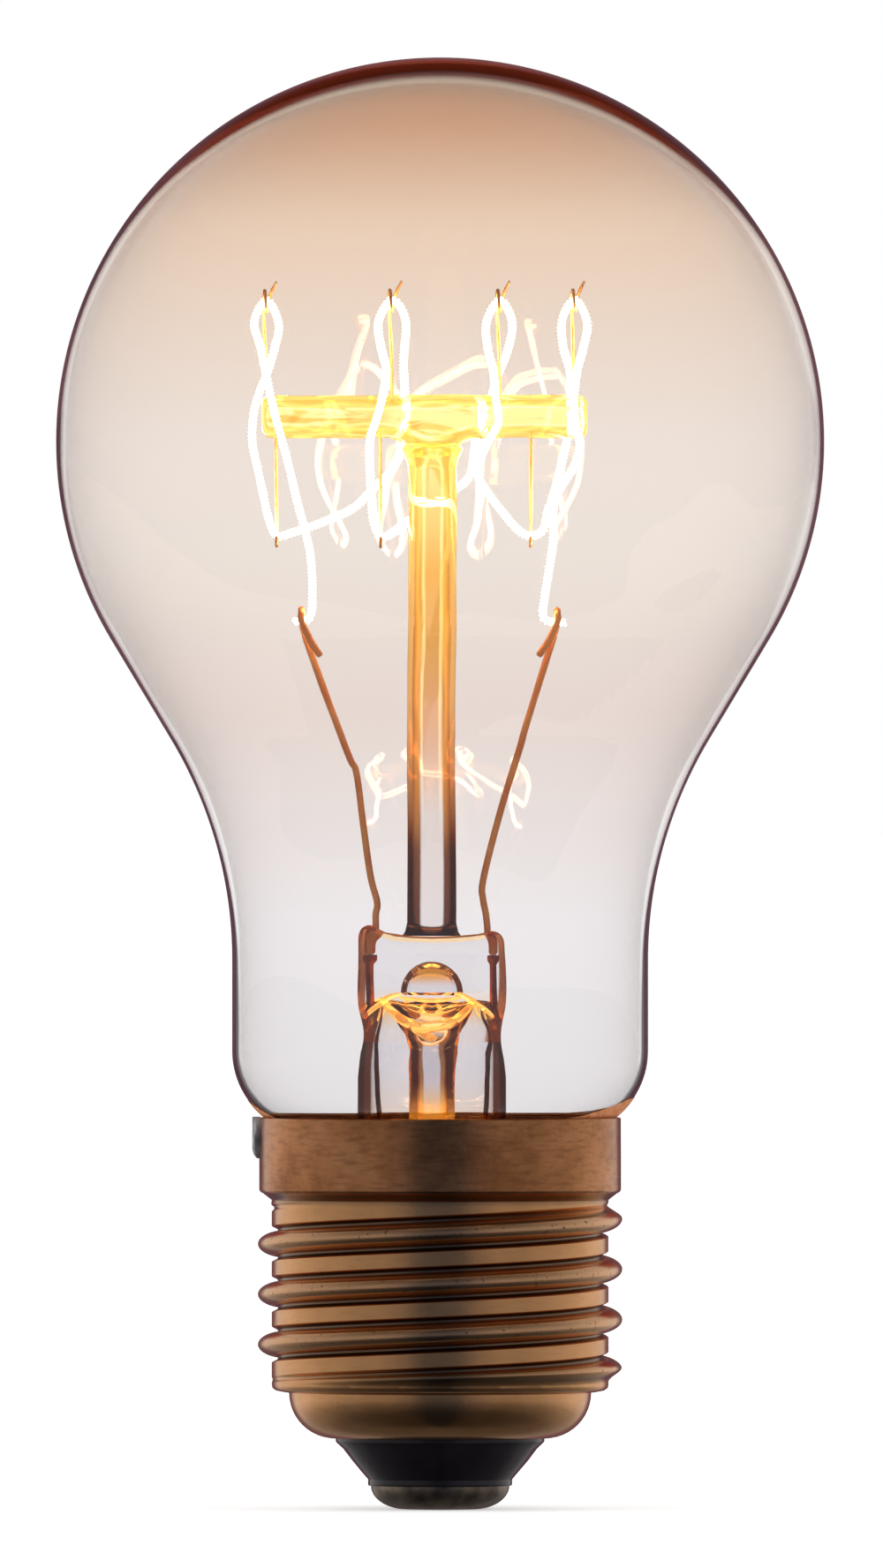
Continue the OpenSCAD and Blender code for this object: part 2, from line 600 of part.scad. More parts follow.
strand_lower_2 = [[-0.7, -1.5, -0.47], [-0.6, -0.9, -0.66], [-0.5, -0.25, -0.86], [0, 0, -1],
    [0.8, 0.4, -0.97], [2, 1.9, -0.86]];
strand_behind_rod = [[0, 2.35, -0.71], [1.8, 1.9, -0.59], [2.7, 1.4, -0.49]];
strand_upper_3 = [[-1.9, 1.7, -0.3], [-1.6, 2.15, -0.08], [-0.8, 2, 0.1], [-0.3, 1.4, 0.3],
    [0.6, 0.7, 0.58], [0.9, 0.1, 0.82], [0, 0, 1], [-0.95, -0.1, 0.82], [-0.9, -0.8, 0.6],
    [-0.5, -1.4, 0.4], [-0.3, -2.1, 0.15], [-0.1, -2.15, -0.05], [-0.8, -2, -0.2],
    [-1.6, -1.5, -0.4]];
strand_lower_3 = [[-3.9, -1.2, -0.5], [-3.4, -0.9, -0.6], [-2.5, -0.6, -0.74], [-1, -0.2, -0.94],
    [0, 0, -1], [0.9, 0.1, -0.95], [1.2, 0.4, -0.8], [1.7, 0.8, -0.63]];
strand_upper_4 = [[-0.8, 1.7, -0.35], [-0.3, 2.15, -0.08], [-0.2, 2, 0.15], [-0.3, 1.2, 0.4],
    [-0.8, 0.7, 0.6], [-0.9, 0.1, 0.83], [0, 0, 1], [0.9, -0.1, 0.8], [0.6, -0.9, 0.57],
    [0.2, -1.5, 0.38], [0, -2.1, 0.15], [0.1, -2.15, -0.08], [0.4, -1.9, -0.24], [0, -1.6, -0.41],
    [-1, -1.2, -0.6], [-1.5, -1, -0.76]];
strand_to_right_clamp = [[-0.3, -0.8, -1.05], [-0.6, -0.5, -1.4], [-0.95, -0.3, -1.75],
    [-1.05, -0.1, -1.9], [-0.8, 0, -1.98], [0, 0, -2], [0.6, 0, -2]];

function hung(points, x) = [for (p = points) [x + p[0], p[1], strand_z(p[2])]];
strand_points = concat(
    hung(strand_from_left_clamp, left_clamp_x),
    hung(strand_upper_1, upper_hook_x[0]),
    hung(strand_lower_1, lower_hook_x[0]),
    hung(strand_lower_2_rise, lower_hook_x[1]),
    hung(strand_upper_2, upper_hook_x[1]),
    hung(strand_lower_2, lower_hook_x[1]),
    hung(strand_behind_rod, stem_x),
    hung(strand_upper_3, upper_hook_x[2]),
    hung(strand_lower_3, lower_hook_x[2]),
    hung(strand_upper_4, upper_hook_x[3]),
    hung(strand_to_right_clamp, right_clamp_x));

module filament() {
    color([1, 0.78, 0.4]) swept_tube(smooth_path(strand_points, 2), filament_d / 2, 8);
}

envelope();
screw_shell();
cap_insulator();
centre_contact();
centre_solder();
side_solder();
basing_cement();
stem_flare();
stem_press();
exhaust_tube();
arbor_rod();
cross_bar();
inner_lead(lead_x[0], left_clamp_x, left_lead_bends);  // lead_inner_left
inner_lead(lead_x[1], right_clamp_x, right_lead_bends);  // lead_inner_right
seal_wire(lead_x[0]);  // dumet_left
seal_wire(lead_x[1]);  // dumet_right
lead_outer_left();
lead_outer_right();
upper_hook(0);  // upper_hook_1
upper_hook(1);  // upper_hook_2
upper_hook(2);  // upper_hook_3
upper_hook(3);  // upper_hook_4
lower_hook(0);  // lower_hook_1
lower_hook(1);  // lower_hook_2
lower_hook(2);  // lower_hook_3
filament();
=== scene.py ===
"""Looks of the filament bulb: clear blown glass, a lit strand on its wires and an aged brass cap."""
from math import acos, ceil, copysign, cos, degrees, pi, radians, sin, sqrt, tan

import bpy
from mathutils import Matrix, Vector, noise


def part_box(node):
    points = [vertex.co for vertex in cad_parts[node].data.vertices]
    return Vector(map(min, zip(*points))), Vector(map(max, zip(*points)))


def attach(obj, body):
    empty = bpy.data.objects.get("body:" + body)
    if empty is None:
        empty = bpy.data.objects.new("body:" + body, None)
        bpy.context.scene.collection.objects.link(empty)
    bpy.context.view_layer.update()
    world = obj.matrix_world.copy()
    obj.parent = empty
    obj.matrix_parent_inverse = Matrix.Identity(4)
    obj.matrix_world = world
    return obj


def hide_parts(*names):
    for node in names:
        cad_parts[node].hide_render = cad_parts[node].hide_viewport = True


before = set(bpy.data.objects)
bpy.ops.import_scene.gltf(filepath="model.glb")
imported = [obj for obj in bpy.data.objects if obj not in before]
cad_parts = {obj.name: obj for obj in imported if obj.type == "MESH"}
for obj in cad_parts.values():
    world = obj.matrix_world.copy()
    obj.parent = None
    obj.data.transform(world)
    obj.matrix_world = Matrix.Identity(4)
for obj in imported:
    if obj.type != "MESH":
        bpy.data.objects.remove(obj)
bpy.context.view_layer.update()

MM = 0.001
BULB_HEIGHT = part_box("envelope")[1].z / MM

# The photograph shows 113.1 mm from its lower to its upper edge, from far away
CAMERA_DISTANCE = 2.4
VIEW_HEIGHT = 0.1131
VIEW_CENTRE = (0.0001, 0.0523)
SENSOR = 36.0
FLOOR_REACH = 30.0

# Driving sizes of the glass, the cap and the wires in millimetres, the same as in the construction
GLOBE_R, GLOBE_Z = 27.7, 77.0
SHOULDER_ANGLE, SHOULDER_BLEND_R = 31.0, 31.0
NECK_R, NECK_ROLL_R = 15.0, 6.0
GLASS_T, CROWN_T = 0.6, 1.25
SKIRT_R, SKIRT_TOP_Z, SKIRT_BOTTOM_Z = 13.05, 28.25, 22.8
THREAD_PITCH, THREAD_MID_Z = 3.629, 15.5
THREAD_CREST_R, THREAD_BAND_R, THREAD_GROOVE_R = 13.15, 12.15, 11.7
THREAD_CREST_HALF, THREAD_TOP_Z, THREAD_BOTTOM_Z = 0.9, 22.3, 9.0
SHEET_T, DOME_R, SHELL_MOUTH_R, SHELL_BASE_Z = 0.3, 3.3, 7.6, 5.1
INSULATOR_TIP_R, INSULATOR_TIP_Z = 5.2, 1.7
CONTACT_R, CONTACT_FLAT_R, CONTACT_T, CONTACT_HOLE_R = 5.0, 2.5, 0.5, 1.1
STEM_X, FLARE_R, FLARE_T, TRUMPET_R = -0.6, 5.35, 0.9, 6.0
PRESS_BOTTOM_Z, PRESS_FLAT_Z, PRESS_TOP_Z = 33.0, 36.8, 41.8
PRESS_W, PRESS_T = 10.6, 4.4
EXHAUST_R, EXHAUST_T, EXHAUST_TIP_Z = 1.65, 0.6, 13.0
ARBOR_R, BAR_R, BAR_LENGTH, BAR_Z = 1.75, 1.55, 23.4, 78.8
BAR_X = STEM_X - 0.5
LEAD_D, SEAL_WIRE_D, LEAD_SPREAD, HOOK_D = 0.5, 0.4, 4.0, 0.25
FILAMENT_D, UPPER_RISE, LOWER_DROP, CLAMP_DROP, HOOK_GAP = 0.9, 8.5, 8.6, 14.8, 0.15

SKIRT_IN_R = SKIRT_R - SHEET_T
GLASS_RIM_R = SKIRT_IN_R - 0.12
NECK_ROLL_X = NECK_R - NECK_ROLL_R
NECK_ROLL_Z = SKIRT_TOP_Z + sqrt(NECK_ROLL_R**2 - (GLASS_RIM_R - NECK_ROLL_X) ** 2)
NECK_FOOT_R, NECK_FOOT_Z = SKIRT_IN_R - 0.75, SKIRT_BOTTOM_Z + SHEET_T + SEAL_WIRE_D + 0.4
LEAD_PASS_R = min(THREAD_BAND_R - SHEET_T, NECK_FOOT_R)
NECK_FOOT_ANGLE = degrees(acos((NECK_FOOT_R - NECK_ROLL_X) / NECK_ROLL_R))
TRUMPET_TOP_Z = NECK_FOOT_Z + FLARE_T + TRUMPET_R
LEAD_X = (STEM_X - LEAD_SPREAD, STEM_X + LEAD_SPREAD)
SEAL_BOTTOM_Z, SEAL_TOP_Z = PRESS_FLAT_Z - 0.4, PRESS_TOP_Z - 1.8
CLAMP_Z = BAR_Z - CLAMP_DROP
SOLDER_Z = SKIRT_TOP_Z - 1.15
DOME_Z = SHELL_BASE_Z + DOME_R
EYE_R = (FILAMENT_D + HOOK_D) / 2 + HOOK_GAP


def linear(hex_colour):
    """A linear colour with alpha from an sRGB hex value."""
    channels = [int(hex_colour[i : i + 2], 16) / 255 for i in (1, 3, 5)]
    return [c / 12.92 if c <= 0.04045 else ((c + 0.055) / 1.055) ** 2.4 for c in channels] + [1.0]


def fill(tree, node, inputs):
    """Set a node's inputs, by name or place, to numbers, hex colours or other nodes' outputs."""
    for name, value in inputs.items():
        if isinstance(value, bpy.types.NodeSocket):
            tree.links.new(value, node.inputs[name])
        else:
            node.inputs[name].default_value = linear(value) if isinstance(value, str) else value


def add(tree, kind, *values, out=0, stops=None, **settings):
    """Add a node with its settings and links, and give one output. Stops are a ramp's colours by place.

    Values go to the inputs in order, or by name in a dictionary. Every mix here is of two colours.
    """
    node = tree.nodes.new("ShaderNode" + kind)
    places = range(len(values))
    if kind == "Mix":
        node.data_type, out, places = "RGBA", 2, (0, 6, 7)
    for name, value in settings.items():
        setattr(node, name, value)
    for place, value in zip(places, values):
        fill(tree, node, value if isinstance(value, dict) else {place: value})
    for i, (place, colour) in enumerate((stops or {}).items()):
        elements = node.color_ramp.elements
        stop = elements[i] if i < 2 else elements.new(place)
        stop.position = place
        stop.color = linear(colour)
    return node.outputs[out]


def new_finish(name):
    """A material with a plain Principled shader: the material, its nodes, the shader and the place."""
    finish = bpy.data.materials.new(name)
    finish.use_nodes = True
    tree = finish.node_tree
    return finish, tree, tree.nodes["Principled BSDF"], add(tree, "TexCoord", out="Object")


# Meshes


def bridge(lower, upper):
    """Faces between two rings of point numbers, where a ring may be one point."""
    faces = []
    for k in range(max(len(lower), len(upper))):
        corners = [(lower, k), (lower, k + 1), (upper, k + 1), (upper, k)]
        faces.append(tuple(dict.fromkeys(ring[n % len(ring)] for ring, n in corners)))
    return [face for face in faces if len(face) > 2]


def lofted(rings, closed=False, void=False):
    """A closed skin through rings of points. A void's skin faces inwards, as a bubble in glass does."""
    points, numbers = [], []
    for ring in rings:
        numbers.append(list(range(len(points), len(points) + len(ring))))
        points.extend(ring)
    pairs = list(zip(numbers, numbers[1:]))
    if closed:
        pairs.append((numbers[-1], numbers[0]))
    faces = [face for lower, upper in pairs for face in bridge(lower, upper)]
    if not closed:
        faces += [tuple(reversed(numbers[0]))] if len(numbers[0]) > 2 else []
        faces += [tuple(numbers[-1])] if len(numbers[-1]) > 2 else []
    return outward(points, faces, void)


def outward(points, faces, void=False):
    """Turn the faces so that the skin encloses a positive volume, or a negative one for a void."""
    volume = 0.0
    for face in faces:
        a = Vector(points[face[0]])
        for second, third in zip(face[1:], face[2:]):
            volume += a.dot(Vector(points[second]).cross(Vector(points[third])))
    if (volume < 0) != void:
        faces = [tuple(reversed(face)) for face in faces]
    return points, faces


def full_turn(count):
    """Angles spaced evenly round a full turn."""
    return [2 * pi * k / count for k in range(count)]


def circle(radius, z, sides, centre_x=0.0, depth=1.0):
    """A ring of points round an upright axis, squeezed front to back by depth."""
    if radius < 1e-6:
        return [(centre_x, 0.0, z)]
    return [(centre_x + radius * cos(a), depth * radius * sin(a), z) for a in full_turn(sides)]


def turned(profile, sides, centre_x=0.0, closed=True):
    """A skin turned round an upright axis from a profile of (radius, height)."""
    return lofted([circle(r, z, sides, centre_x) for r, z in profile], closed)


def arc(x, z, r, start, end, step=3.0):
    """Points on a circular arc, from one angle to another in degrees."""
    steps = max(1, ceil(abs(end - start) / step))
    turns = [radians(start + (end - start) * i / steps) for i in range(steps + 1)]
    return [(x + r * cos(a), z + r * sin(a)) for a in turns]


def smooth_path(points, steps):
    """A smooth curve through the points, with some steps between each two."""
    p = [Vector(q) for q in points]
    path = []
    for i in range(len(p) - 1):
        a, b, c, d = p[max(i - 1, 0)], p[i], p[i + 1], p[min(i + 2, len(p) - 1)]
        for k in range(steps):
            u = k / steps
            cube = 3 * b - a - 3 * c + d
            path.append((2 * b + (c - a) * u + (2 * a - 5 * b + 4 * c - d) * u * u + cube * u**3) / 2)
    return path + [p[-1]]


def carried_frames(path):
    """The tangent, side and upright of each point on a path, carried along without twist."""
    last = len(path) - 1
    tangents = [(path[min(i + 1, last)] - path[max(i - 1, 0)]).normalized() for i in range(last + 1)]
    side = Vector((0, 1, 0)) if abs(tangents[0].y) < 0.9 else Vector((1, 0, 0))
    frames = []
    for tangent in tangents:
        side = (side - side.dot(tangent) * tangent).normalized()
        frames.append((tangent, side, tangent.cross(side)))
    return frames


def swept(path, radii, sides):
    """A round tube along a path, with one radius or one for each point."""
    rings = []
    for i, (point, (_, side, up)) in enumerate(zip(path, carried_frames(path))):
        r = radii[i] if isinstance(radii, list) else radii
        rings.append([tuple(point + r * (cos(a) * side + sin(a) * up)) for a in full_turn(sides)])
    return lofted(rings)


def rounded_wire(path, r, sides=10, end_share=0.7):
    """A wire whose two cut ends are slightly rounded, down to a share of its radius."""
    radii = [r] * len(path)
    radii[0] = radii[-1] = r * end_share
    return swept(path, radii, sides)


def joined(*skins):
    """Several skins as one."""
    points, faces = [], []
    for skin_points, skin_faces in skins:
        first = len(points)
        points += skin_points
        faces += [tuple(first + i for i in face) for face in skin_faces]
    return points, faces


def make_piece(name, skin, finish, slot, *nodes, crease=40.0, more=(), parts=None):
    """A smooth-shaded piece of the object, which stands for the given CAD nodes.

    More finishes follow the first one, and parts tells which of them each face takes.
    """
    points, faces = skin
    mesh = bpy.data.meshes.new(name)
    mesh.from_pydata([[c * MM for c in p] for p in points], [], faces)
    mesh.shade_smooth()
    mesh.set_sharp_from_angle(angle=radians(crease))
    for one in (finish, *more):
        mesh.materials.append(one)
    if parts:
        mesh.polygons.foreach_set("material_index", parts)
    piece = bpy.data.objects.new(name, mesh)
    bpy.context.scene.collection.objects.link(piece)
    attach(piece, "root")
    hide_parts(*nodes)


def smooth_step(x):
    """A ramp from 0 to 1 with soft ends."""
    t = min(1.0, max(0.0, x))
    return t * t * (3 - 2 * t)


def uneven(point, size, seed):
    """Smooth noise from -1 to 1 at a point, with bumps of the given size in millimetres."""
    return noise.noise(Vector(point) / size + Vector((seed, 0, 0)))


# Finishes


def glass_finish(name, body, painted_edge, painted_edge_from, painted_edge_width, sheen, ior=1.55, lowered=(), glow=None,
                 streaks=None, painted_edge_glow=None):
    """Clear glass. The body, painted edge and glow colours are given by height, as shares of the bulb's
    height.

    A curved glass edge bends light so far that it shows the dark room; that shade is painted here: each
    skin turns to its painted edge colour where it is seen at a slant, past the given start of the facing
    weight. Near the strand the painted edge turns to painted light. The start is lowered by an amount
    between two heights, such as the thicker crown, which widens the painted edge. Glow is painted light,
    the strand's light that the glass would carry, and streaks are draw lines, by their lengths in X, Y and
    Z in millimetres: painted gold and painted bright lines show in them beside the edges near the strand.
    Ember is a painted glow of the edges alone.
    """
    finish, tree, shader, place = new_finish(name)
    split = add(tree, "SeparateXYZ", place).node.outputs
    height = add(tree, "Math", split["Z"], BULB_HEIGHT * MM, operation="DIVIDE")
    body_colour = add(tree, "ValToRGB", height, stops=body)
    if streaks:
        # Draw lines show painted gold light in the body where it is near the strand
        drawn = add(tree, "VectorMath", place, [1 / (s * MM) for s in streaks], operation="MULTIPLY")
        lines = add(tree, "TexNoise", {"Vector": drawn, "Scale": 1.0, "Detail": 2.0, "Distortion": 0.8})
        share = add(tree, "MapRange", lines, 0.53, 0.61)
        near = add(tree, "MapRange", height, 0.5, 0.6)
        lit = add(tree, "Math", share, near, operation="MULTIPLY")
        body_colour = add(tree, "Mix", lit, body_colour, "#E0A444")
    # Painted shade where a skin is seen at a slant, and painted light near the strand
    painted_edge_colour = add(tree, "ValToRGB", height, stops=painted_edge)
    slant = add(tree, "LayerWeight", 0.5, out="Facing")
    for low, high, amount in lowered:
        raised = add(tree, "MapRange", height, low, high, 0.0, amount, interpolation_type="SMOOTHSTEP")
        slant = add(tree, "Math", slant, raised, operation="ADD")
    edge = add(tree, "MapRange", slant, painted_edge_from, painted_edge_from + painted_edge_width, interpolation_type="SMOOTHSTEP")
    colour = add(tree, "Mix", edge, body_colour, painted_edge_colour)
    fill(tree, shader, {"Base Color": colour, "Transmission Weight": 1.0, "Roughness": 0.0, "IOR": ior,
                        "Specular Tint": sheen})
    # Painted light: the glass glows though it is no lamp
    if glow or painted_edge_glow:
        light = add(tree, "ValToRGB", height, stops=glow or {0: "#000000", 1: "#000000"})
        if streaks:
            # Painted bright lines wander a little with the draw lines, and fade out down the rod
            wander = add(tree, "Math", lines, 0.12, slant, operation="MULTIPLY_ADD")
            bright = add(tree, "ValToRGB", wander, stops={
                0.1: "#000000", 0.125: "#FFFFFF", 0.17: "#606060", 0.24: "#101010", 0.38: "#202020",
                0.46: "#D0D0D0", 0.6: "#D0D0D0"})
            carried = add(tree, "MapRange", height, 0.465, 0.56)
            line_share = add(tree, "Math", bright, carried, operation="MULTIPLY")
            light = add(tree, "Mix", line_share, light, "#CCBE80")
        # A painted glow on the slanted edges alone
        if painted_edge_glow:
            light = add(tree, "Mix", edge, light, painted_edge_glow)
        fill(tree, shader, {"Emission Color": light, "Emission Strength": 1.0})
    return finish


def bulb_glass(name, painted_edge_from):
    """Blown soda-lime glass: a faint warm tint towards the crown and painted maroon shade at the rims.

    The outer skin takes the painted dark rim where it is seen at a slant.
    A start above 1 is past any slant, so that skin stays clear.
    """
    body = {0: "#F4F2F3", 0.29: "#F7F5F6", 0.4: "#F9F7F8", 0.55: "#F8F0EC", 0.66: "#FBF5F0",
            0.735: "#FBF4EF", 0.8: "#FAF0E8", 0.89: "#FAEADC", 0.92: "#F3E0D0", 0.95: "#EED3BE", 1: "#E4C2A4"}
    painted_edge = {0: "#0A0408", 0.4: "#0A0408", 0.5: "#16060A", 0.85: "#240808", 0.93: "#480A06", 1: "#581006"}
    lowered = [(0.86, 1.0, 0.17), (0.5, 0.33, 0.11)]
    return glass_finish(name, body, painted_edge, painted_edge_from, painted_edge_width=0.05, sheen="#ECE4E6", ior=1.5,
                        lowered=lowered)


def rod_glass(name, streaks):
    """Drawn lead glass rod: clear in the middle, with painted dark shade at its edges below, and painted gold
    light and glow near the lit strand.
    """
    body = {0: "#F4F2F4", 0.48: "#F4EEEC", 0.53: "#FCD4B4", 0.56: "#FFCC9C", 0.6: "#FFCC84",
            0.645: "#FFC868", 0.68: "#FFE090", 0.73: "#FFF4B8"}
    painted_edge = {0: "#2A0802", 0.415: "#2A0802", 0.455: "#3E1204", 0.475: "#8A3A0A", 0.5: "#A84E0C",
            0.56: "#C8701E", 0.62: "#D08420", 0.7: "#F0B84C"}
    # Painted glow near the strand
    glow = {0: "#000000", 0.5: "#000000", 0.58: "#281408", 0.66: "#5A3C14", 0.72: "#80682C",
            0.75: "#8C7838"}
    return glass_finish(name, body, painted_edge, painted_edge_from=0.08, painted_edge_width=0.06, sheen="#4A342C", glow=glow,
                        streaks=streaks)


def press_glass():
    """Pressed lead glass: a clear panel with painted dark shade and painted orange glints at its edges, and a
    painted glow there.
    """
    body = {0: "#F4F2F4", 0.335: "#F6F0EC", 0.345: "#FCEAD4", 0.36: "#F4F2F4", 0.4: "#F4F2F4"}
    painted_edge = {0: "#3A0C04", 0.33: "#7A2C08", 0.36: "#3A1004", 0.38: "#3A1004", 0.4: "#7A2C08"}
    return glass_finish("pressed_lead_glass", body, painted_edge, painted_edge_from=0.27, painted_edge_width=0.1, sheen="#30201A",
                        painted_edge_glow="#4E1E07")


def press_edge_glass():
    """The press's fire-polished top edge, painted gold as the strand's light would catch it, with a painted
    glow.
    """
    body = {0: "#FFD090", 0.4: "#FFD890"}
    painted_edge = {0: "#E08A2C", 0.4: "#E08A2C"}
    glow = {0: "#6A4420", 0.4: "#6A4420"}
    return glass_finish("fire_polished_painted_gold_glass", body, painted_edge, painted_edge_from=0.5, painted_edge_width=0.3, sheen="#C0A890",
                        glow=glow)


def flare_glass():
    """Flared lead glass tube: clear, with a painted dark line of shade where its wall is seen edge-on."""
    body = {0: "#FFEEDC", 0.27: "#FFEEDC", 0.31: "#F2F0F2", 0.4: "#F2F0F2"}
    painted_edge = {0: "#3A1408", 0.26: "#4A2418", 0.3: "#2A1C1A", 0.34: "#3A1A10"}
    return glass_finish("flared_lead_glass", body, painted_edge, painted_edge_from=0.52, painted_edge_width=0.14, sheen="#30201A")


def bore_glass():
    """The tube's bore: the same clear lead glass, with a painted thin line of shade where it turns away, and
    painted amber light at its top.
    """
    body = {0: "#FFF0DC", 0.3: "#F8F6F8", 0.33: "#F8F6F8", 0.342: "#FFE2B0", 0.352: "#FFCC7C"}
    painted_edge = {0: "#5A3424", 0.31: "#3A2420", 0.34: "#B05A14"}
    return glass_finish("lead_glass_bore", body, painted_edge, painted_edge_from=0.8, painted_edge_width=0.15, sheen="#8C6A50")


def bubble_glass():
    """The blown bubble in the press: a painted dark outline of shade and a painted amber glint under its top.
    """
    body = {0: "#F4F2F4", 0.3625: "#F4F2F4", 0.369: "#FFA834", 0.378: "#FFC050"}
    painted_edge = {0: "#2A0C08", 0.37: "#2A0C08"}
    return glass_finish("blown_bubble_glass", body, painted_edge, painted_edge_from=0.5, painted_edge_width=0.2, sheen="#8C6A50")


def exhaust_glass():
    """Drawn lead glass tube: painted brown shade at its edges, with painted amber light and glow low down,
    near the cap.
    """
    body = {0: "#FFEEDC", 0.28: "#FFE8C8", 0.3: "#F2F0F2", 0.4: "#F2F0F2"}
    painted_edge = {0: "#FFC850", 0.285: "#FFBC48", 0.3: "#A04A14", 0.33: "#5A240E"}
    glow = {0: "#704C1C", 0.272: "#704C1C", 0.288: "#2C1A08", 0.3: "#000000"}
    return glass_finish("drawn_tube_glass", body, painted_edge, painted_edge_from=0.12, painted_edge_width=0.08, sheen="#4A342C",
                        glow=glow)


def amber_glass():
    """Lead glass folded in the pinch: painted amber light and a painted glow, standing in for the strand's
    light that it carries.
    """
    body = {0: "#FFF4D8", 0.34: "#FFF0CC", 0.36: "#FFE8B0"}
    painted_edge = {0: "#B85410", 0.36: "#A0440A"}
    glow = {0: "#C09048", 0.34: "#C09048", 0.36: "#B88030"}
    return glass_finish("folded_lead_glass", body, painted_edge, painted_edge_from=0.45, painted_edge_width=0.4, sheen="#FFF0D8",
                        glow=glow)


def aged_brass():
    """Rolled brass sheet, aged: satin, with brown tarnish, painted shade in its grooves, painted light on its
    thread and crests, and small pits on the crests.
    """
    finish, tree, shader, place = new_finish("rolled_aged_brass")
    split = add(tree, "SeparateXYZ", place).node.outputs
    flat = add(tree, "CombineXYZ", split["X"], split["Y"])
    radius = add(tree, "VectorMath", flat, out="Value", operation="LENGTH")
    below_skirt = add(tree, "Math", split["Z"], SKIRT_BOTTOM_Z * MM, operation="LESS_THAN")
    in_thread = add(tree, "Math", split["Z"], THREAD_BOTTOM_Z * MM, operation="GREATER_THAN")
    # The sheet: tarnish in 5 mm clouds, with brown smears along the way it was rolled
    cloud = add(tree, "TexNoise", {"Vector": place, "Scale": 1 / (5 * MM), "Detail": 8.0, "Roughness": 0.65})
    sheet = add(tree, "ValToRGB", cloud, stops={0.3: "#A86E46", 0.7: "#DEA074", 0.5: "#CE8E60"})
    rolled = add(tree, "VectorMath", place, [1 / (s * MM) for s in (1.5, 1.5, 0.3)], operation="MULTIPLY")
    smears = add(tree, "TexNoise", {"Vector": rolled, "Scale": 1.0, "Detail": 5.0})
    speckle = add(tree, "MapRange", smears, 0.46, 0.7, 0.0, 0.45)
    stained = add(tree, "Mix", speckle, sheet, "#84523A")
    # The thread is painted paler below the skirt as painted light, with painted shade beside its crests and
    # under the skirt
    painted_thread_light = add(tree, "Math", below_skirt, 0.6, operation="MULTIPLY")
    thread_colour = add(tree, "Mix", painted_thread_light, stained, "#FFC48A")
    across = add(tree, "MapRange", radius, THREAD_GROOVE_R * MM, THREAD_CREST_R * MM)
    band = (THREAD_BAND_R - THREAD_GROOVE_R) / (THREAD_CREST_R - THREAD_GROOVE_R)
    groove_shade = add(tree, "ValToRGB", across, stops={
        0: "#F0F0F0", 1: "#000000", band - 0.05: "#000000", band + 0.05: "#000000",
        band + 0.15: "#C8C8C8", band + 0.3: "#B0B0B0", band + 0.5: "#000000"})
    rolled_groove_shade = add(tree, "Math", groove_shade, in_thread, operation="MULTIPLY")
    under_skirt = add(tree, "MapRange", split["Z"], (SKIRT_BOTTOM_Z - 0.9) * MM, (SKIRT_BOTTOM_Z - 0.3) * MM,
                      0.0, 0.85)
    groove_and_skirt_shade = add(tree, "Math", rolled_groove_shade, under_skirt, operation="MAXIMUM")
    painted_shade_share = add(tree, "Math", groove_and_skirt_shade, below_skirt, operation="MULTIPLY")
    shaded_thread = add(tree, "Mix", painted_shade_share, thread_colour, "#6A625C")
    # The crests are painted bright as a painted highlight, and pitted
    crest = add(tree, "MapRange", radius, (THREAD_BAND_R + 0.35) * MM, (THREAD_CREST_R - 0.05) * MM, 0.0, 0.7)
    crest_highlight_and_pits = add(tree, "Math", crest, below_skirt, operation="MULTIPLY")
    crest_colour = add(tree, "Mix", crest_highlight_and_pits, shaded_thread, "#E8B890")
    grit = add(tree, "TexNoise", {"Vector": place, "Scale": 1 / (0.35 * MM), "Detail": 4.0})
    pits = add(tree, "MapRange", grit, 0.62, 0.72)
    pit_share = add(tree, "Math", pits, crest_highlight_and_pits, operation="MULTIPLY")
    colour = add(tree, "Mix", pit_share, crest_colour, "#2A1610")
    satin = add(tree, "MapRange", cloud, 0.3, 0.7, 0.14, 0.23)
    bump = add(tree, "Bump", {"Height": grit, "Strength": 0.12, "Distance": 0.05 * MM})
    fill(tree, shader, {"Base Color": colour, "Roughness": satin, "Metallic": 1.0, "Normal": bump})
    return finish


def plain_metal(name, hex_colour, dull_colour, grain, roughness, bare=1.0):
    """A metal whose colour and polish drift a little over its surface. Bare is its share free of oxide."""
    finish, tree, shader, place = new_finish(name)
    cloud = add(tree, "TexNoise", {"Vector": place, "Scale": 1 / (grain * MM), "Detail": 5.0})
    colour = add(tree, "ValToRGB", cloud, stops={0.35: dull_colour, 0.65: hex_colour})
    polish = add(tree, "MapRange", cloud, 0.0, 1.0, roughness - 0.08, roughness + 0.08)
    bump = add(tree, "Bump", {"Height": cloud, "Strength": 0.2, "Distance": 0.04 * MM})
    fill(tree, shader, {"Base Color": colour, "Metallic": bare, "Roughness": polish, "Normal": bump})
    return finish


def cast_finish(name, dark, pale, grain, detail, roughness, bump_strength, bump_depth):
    """A cast or baked mass, two-toned by its grain and with the same grain as relief, in millimetres."""
    finish, tree, shader, place = new_finish(name)
    cloud = add(tree, "TexNoise", {"Vector": place, "Scale": 1 / (grain * MM), "Detail": detail})
    colour = add(tree, "ValToRGB", cloud, stops={0.3: dark, 0.7: pale})
    bump = add(tree, "Bump", {"Height": cloud, "Strength": bump_strength, "Distance": bump_depth * MM})
    fill(tree, shader, {"Base Color": colour, "Roughness": roughness, "Normal": bump})
    return finish, shader


def black_glass():
    """Cast black glass: opaque and glossy, with a faint purple cast and soft flow ripples."""
    finish, shader = cast_finish("cast_black_glass", "#0E090D", "#17121A", grain=3, detail=2.0,
                                 roughness=0.16, bump_strength=0.15, bump_depth=0.3)
    shader.inputs["IOR"].default_value = 1.52
    return finish


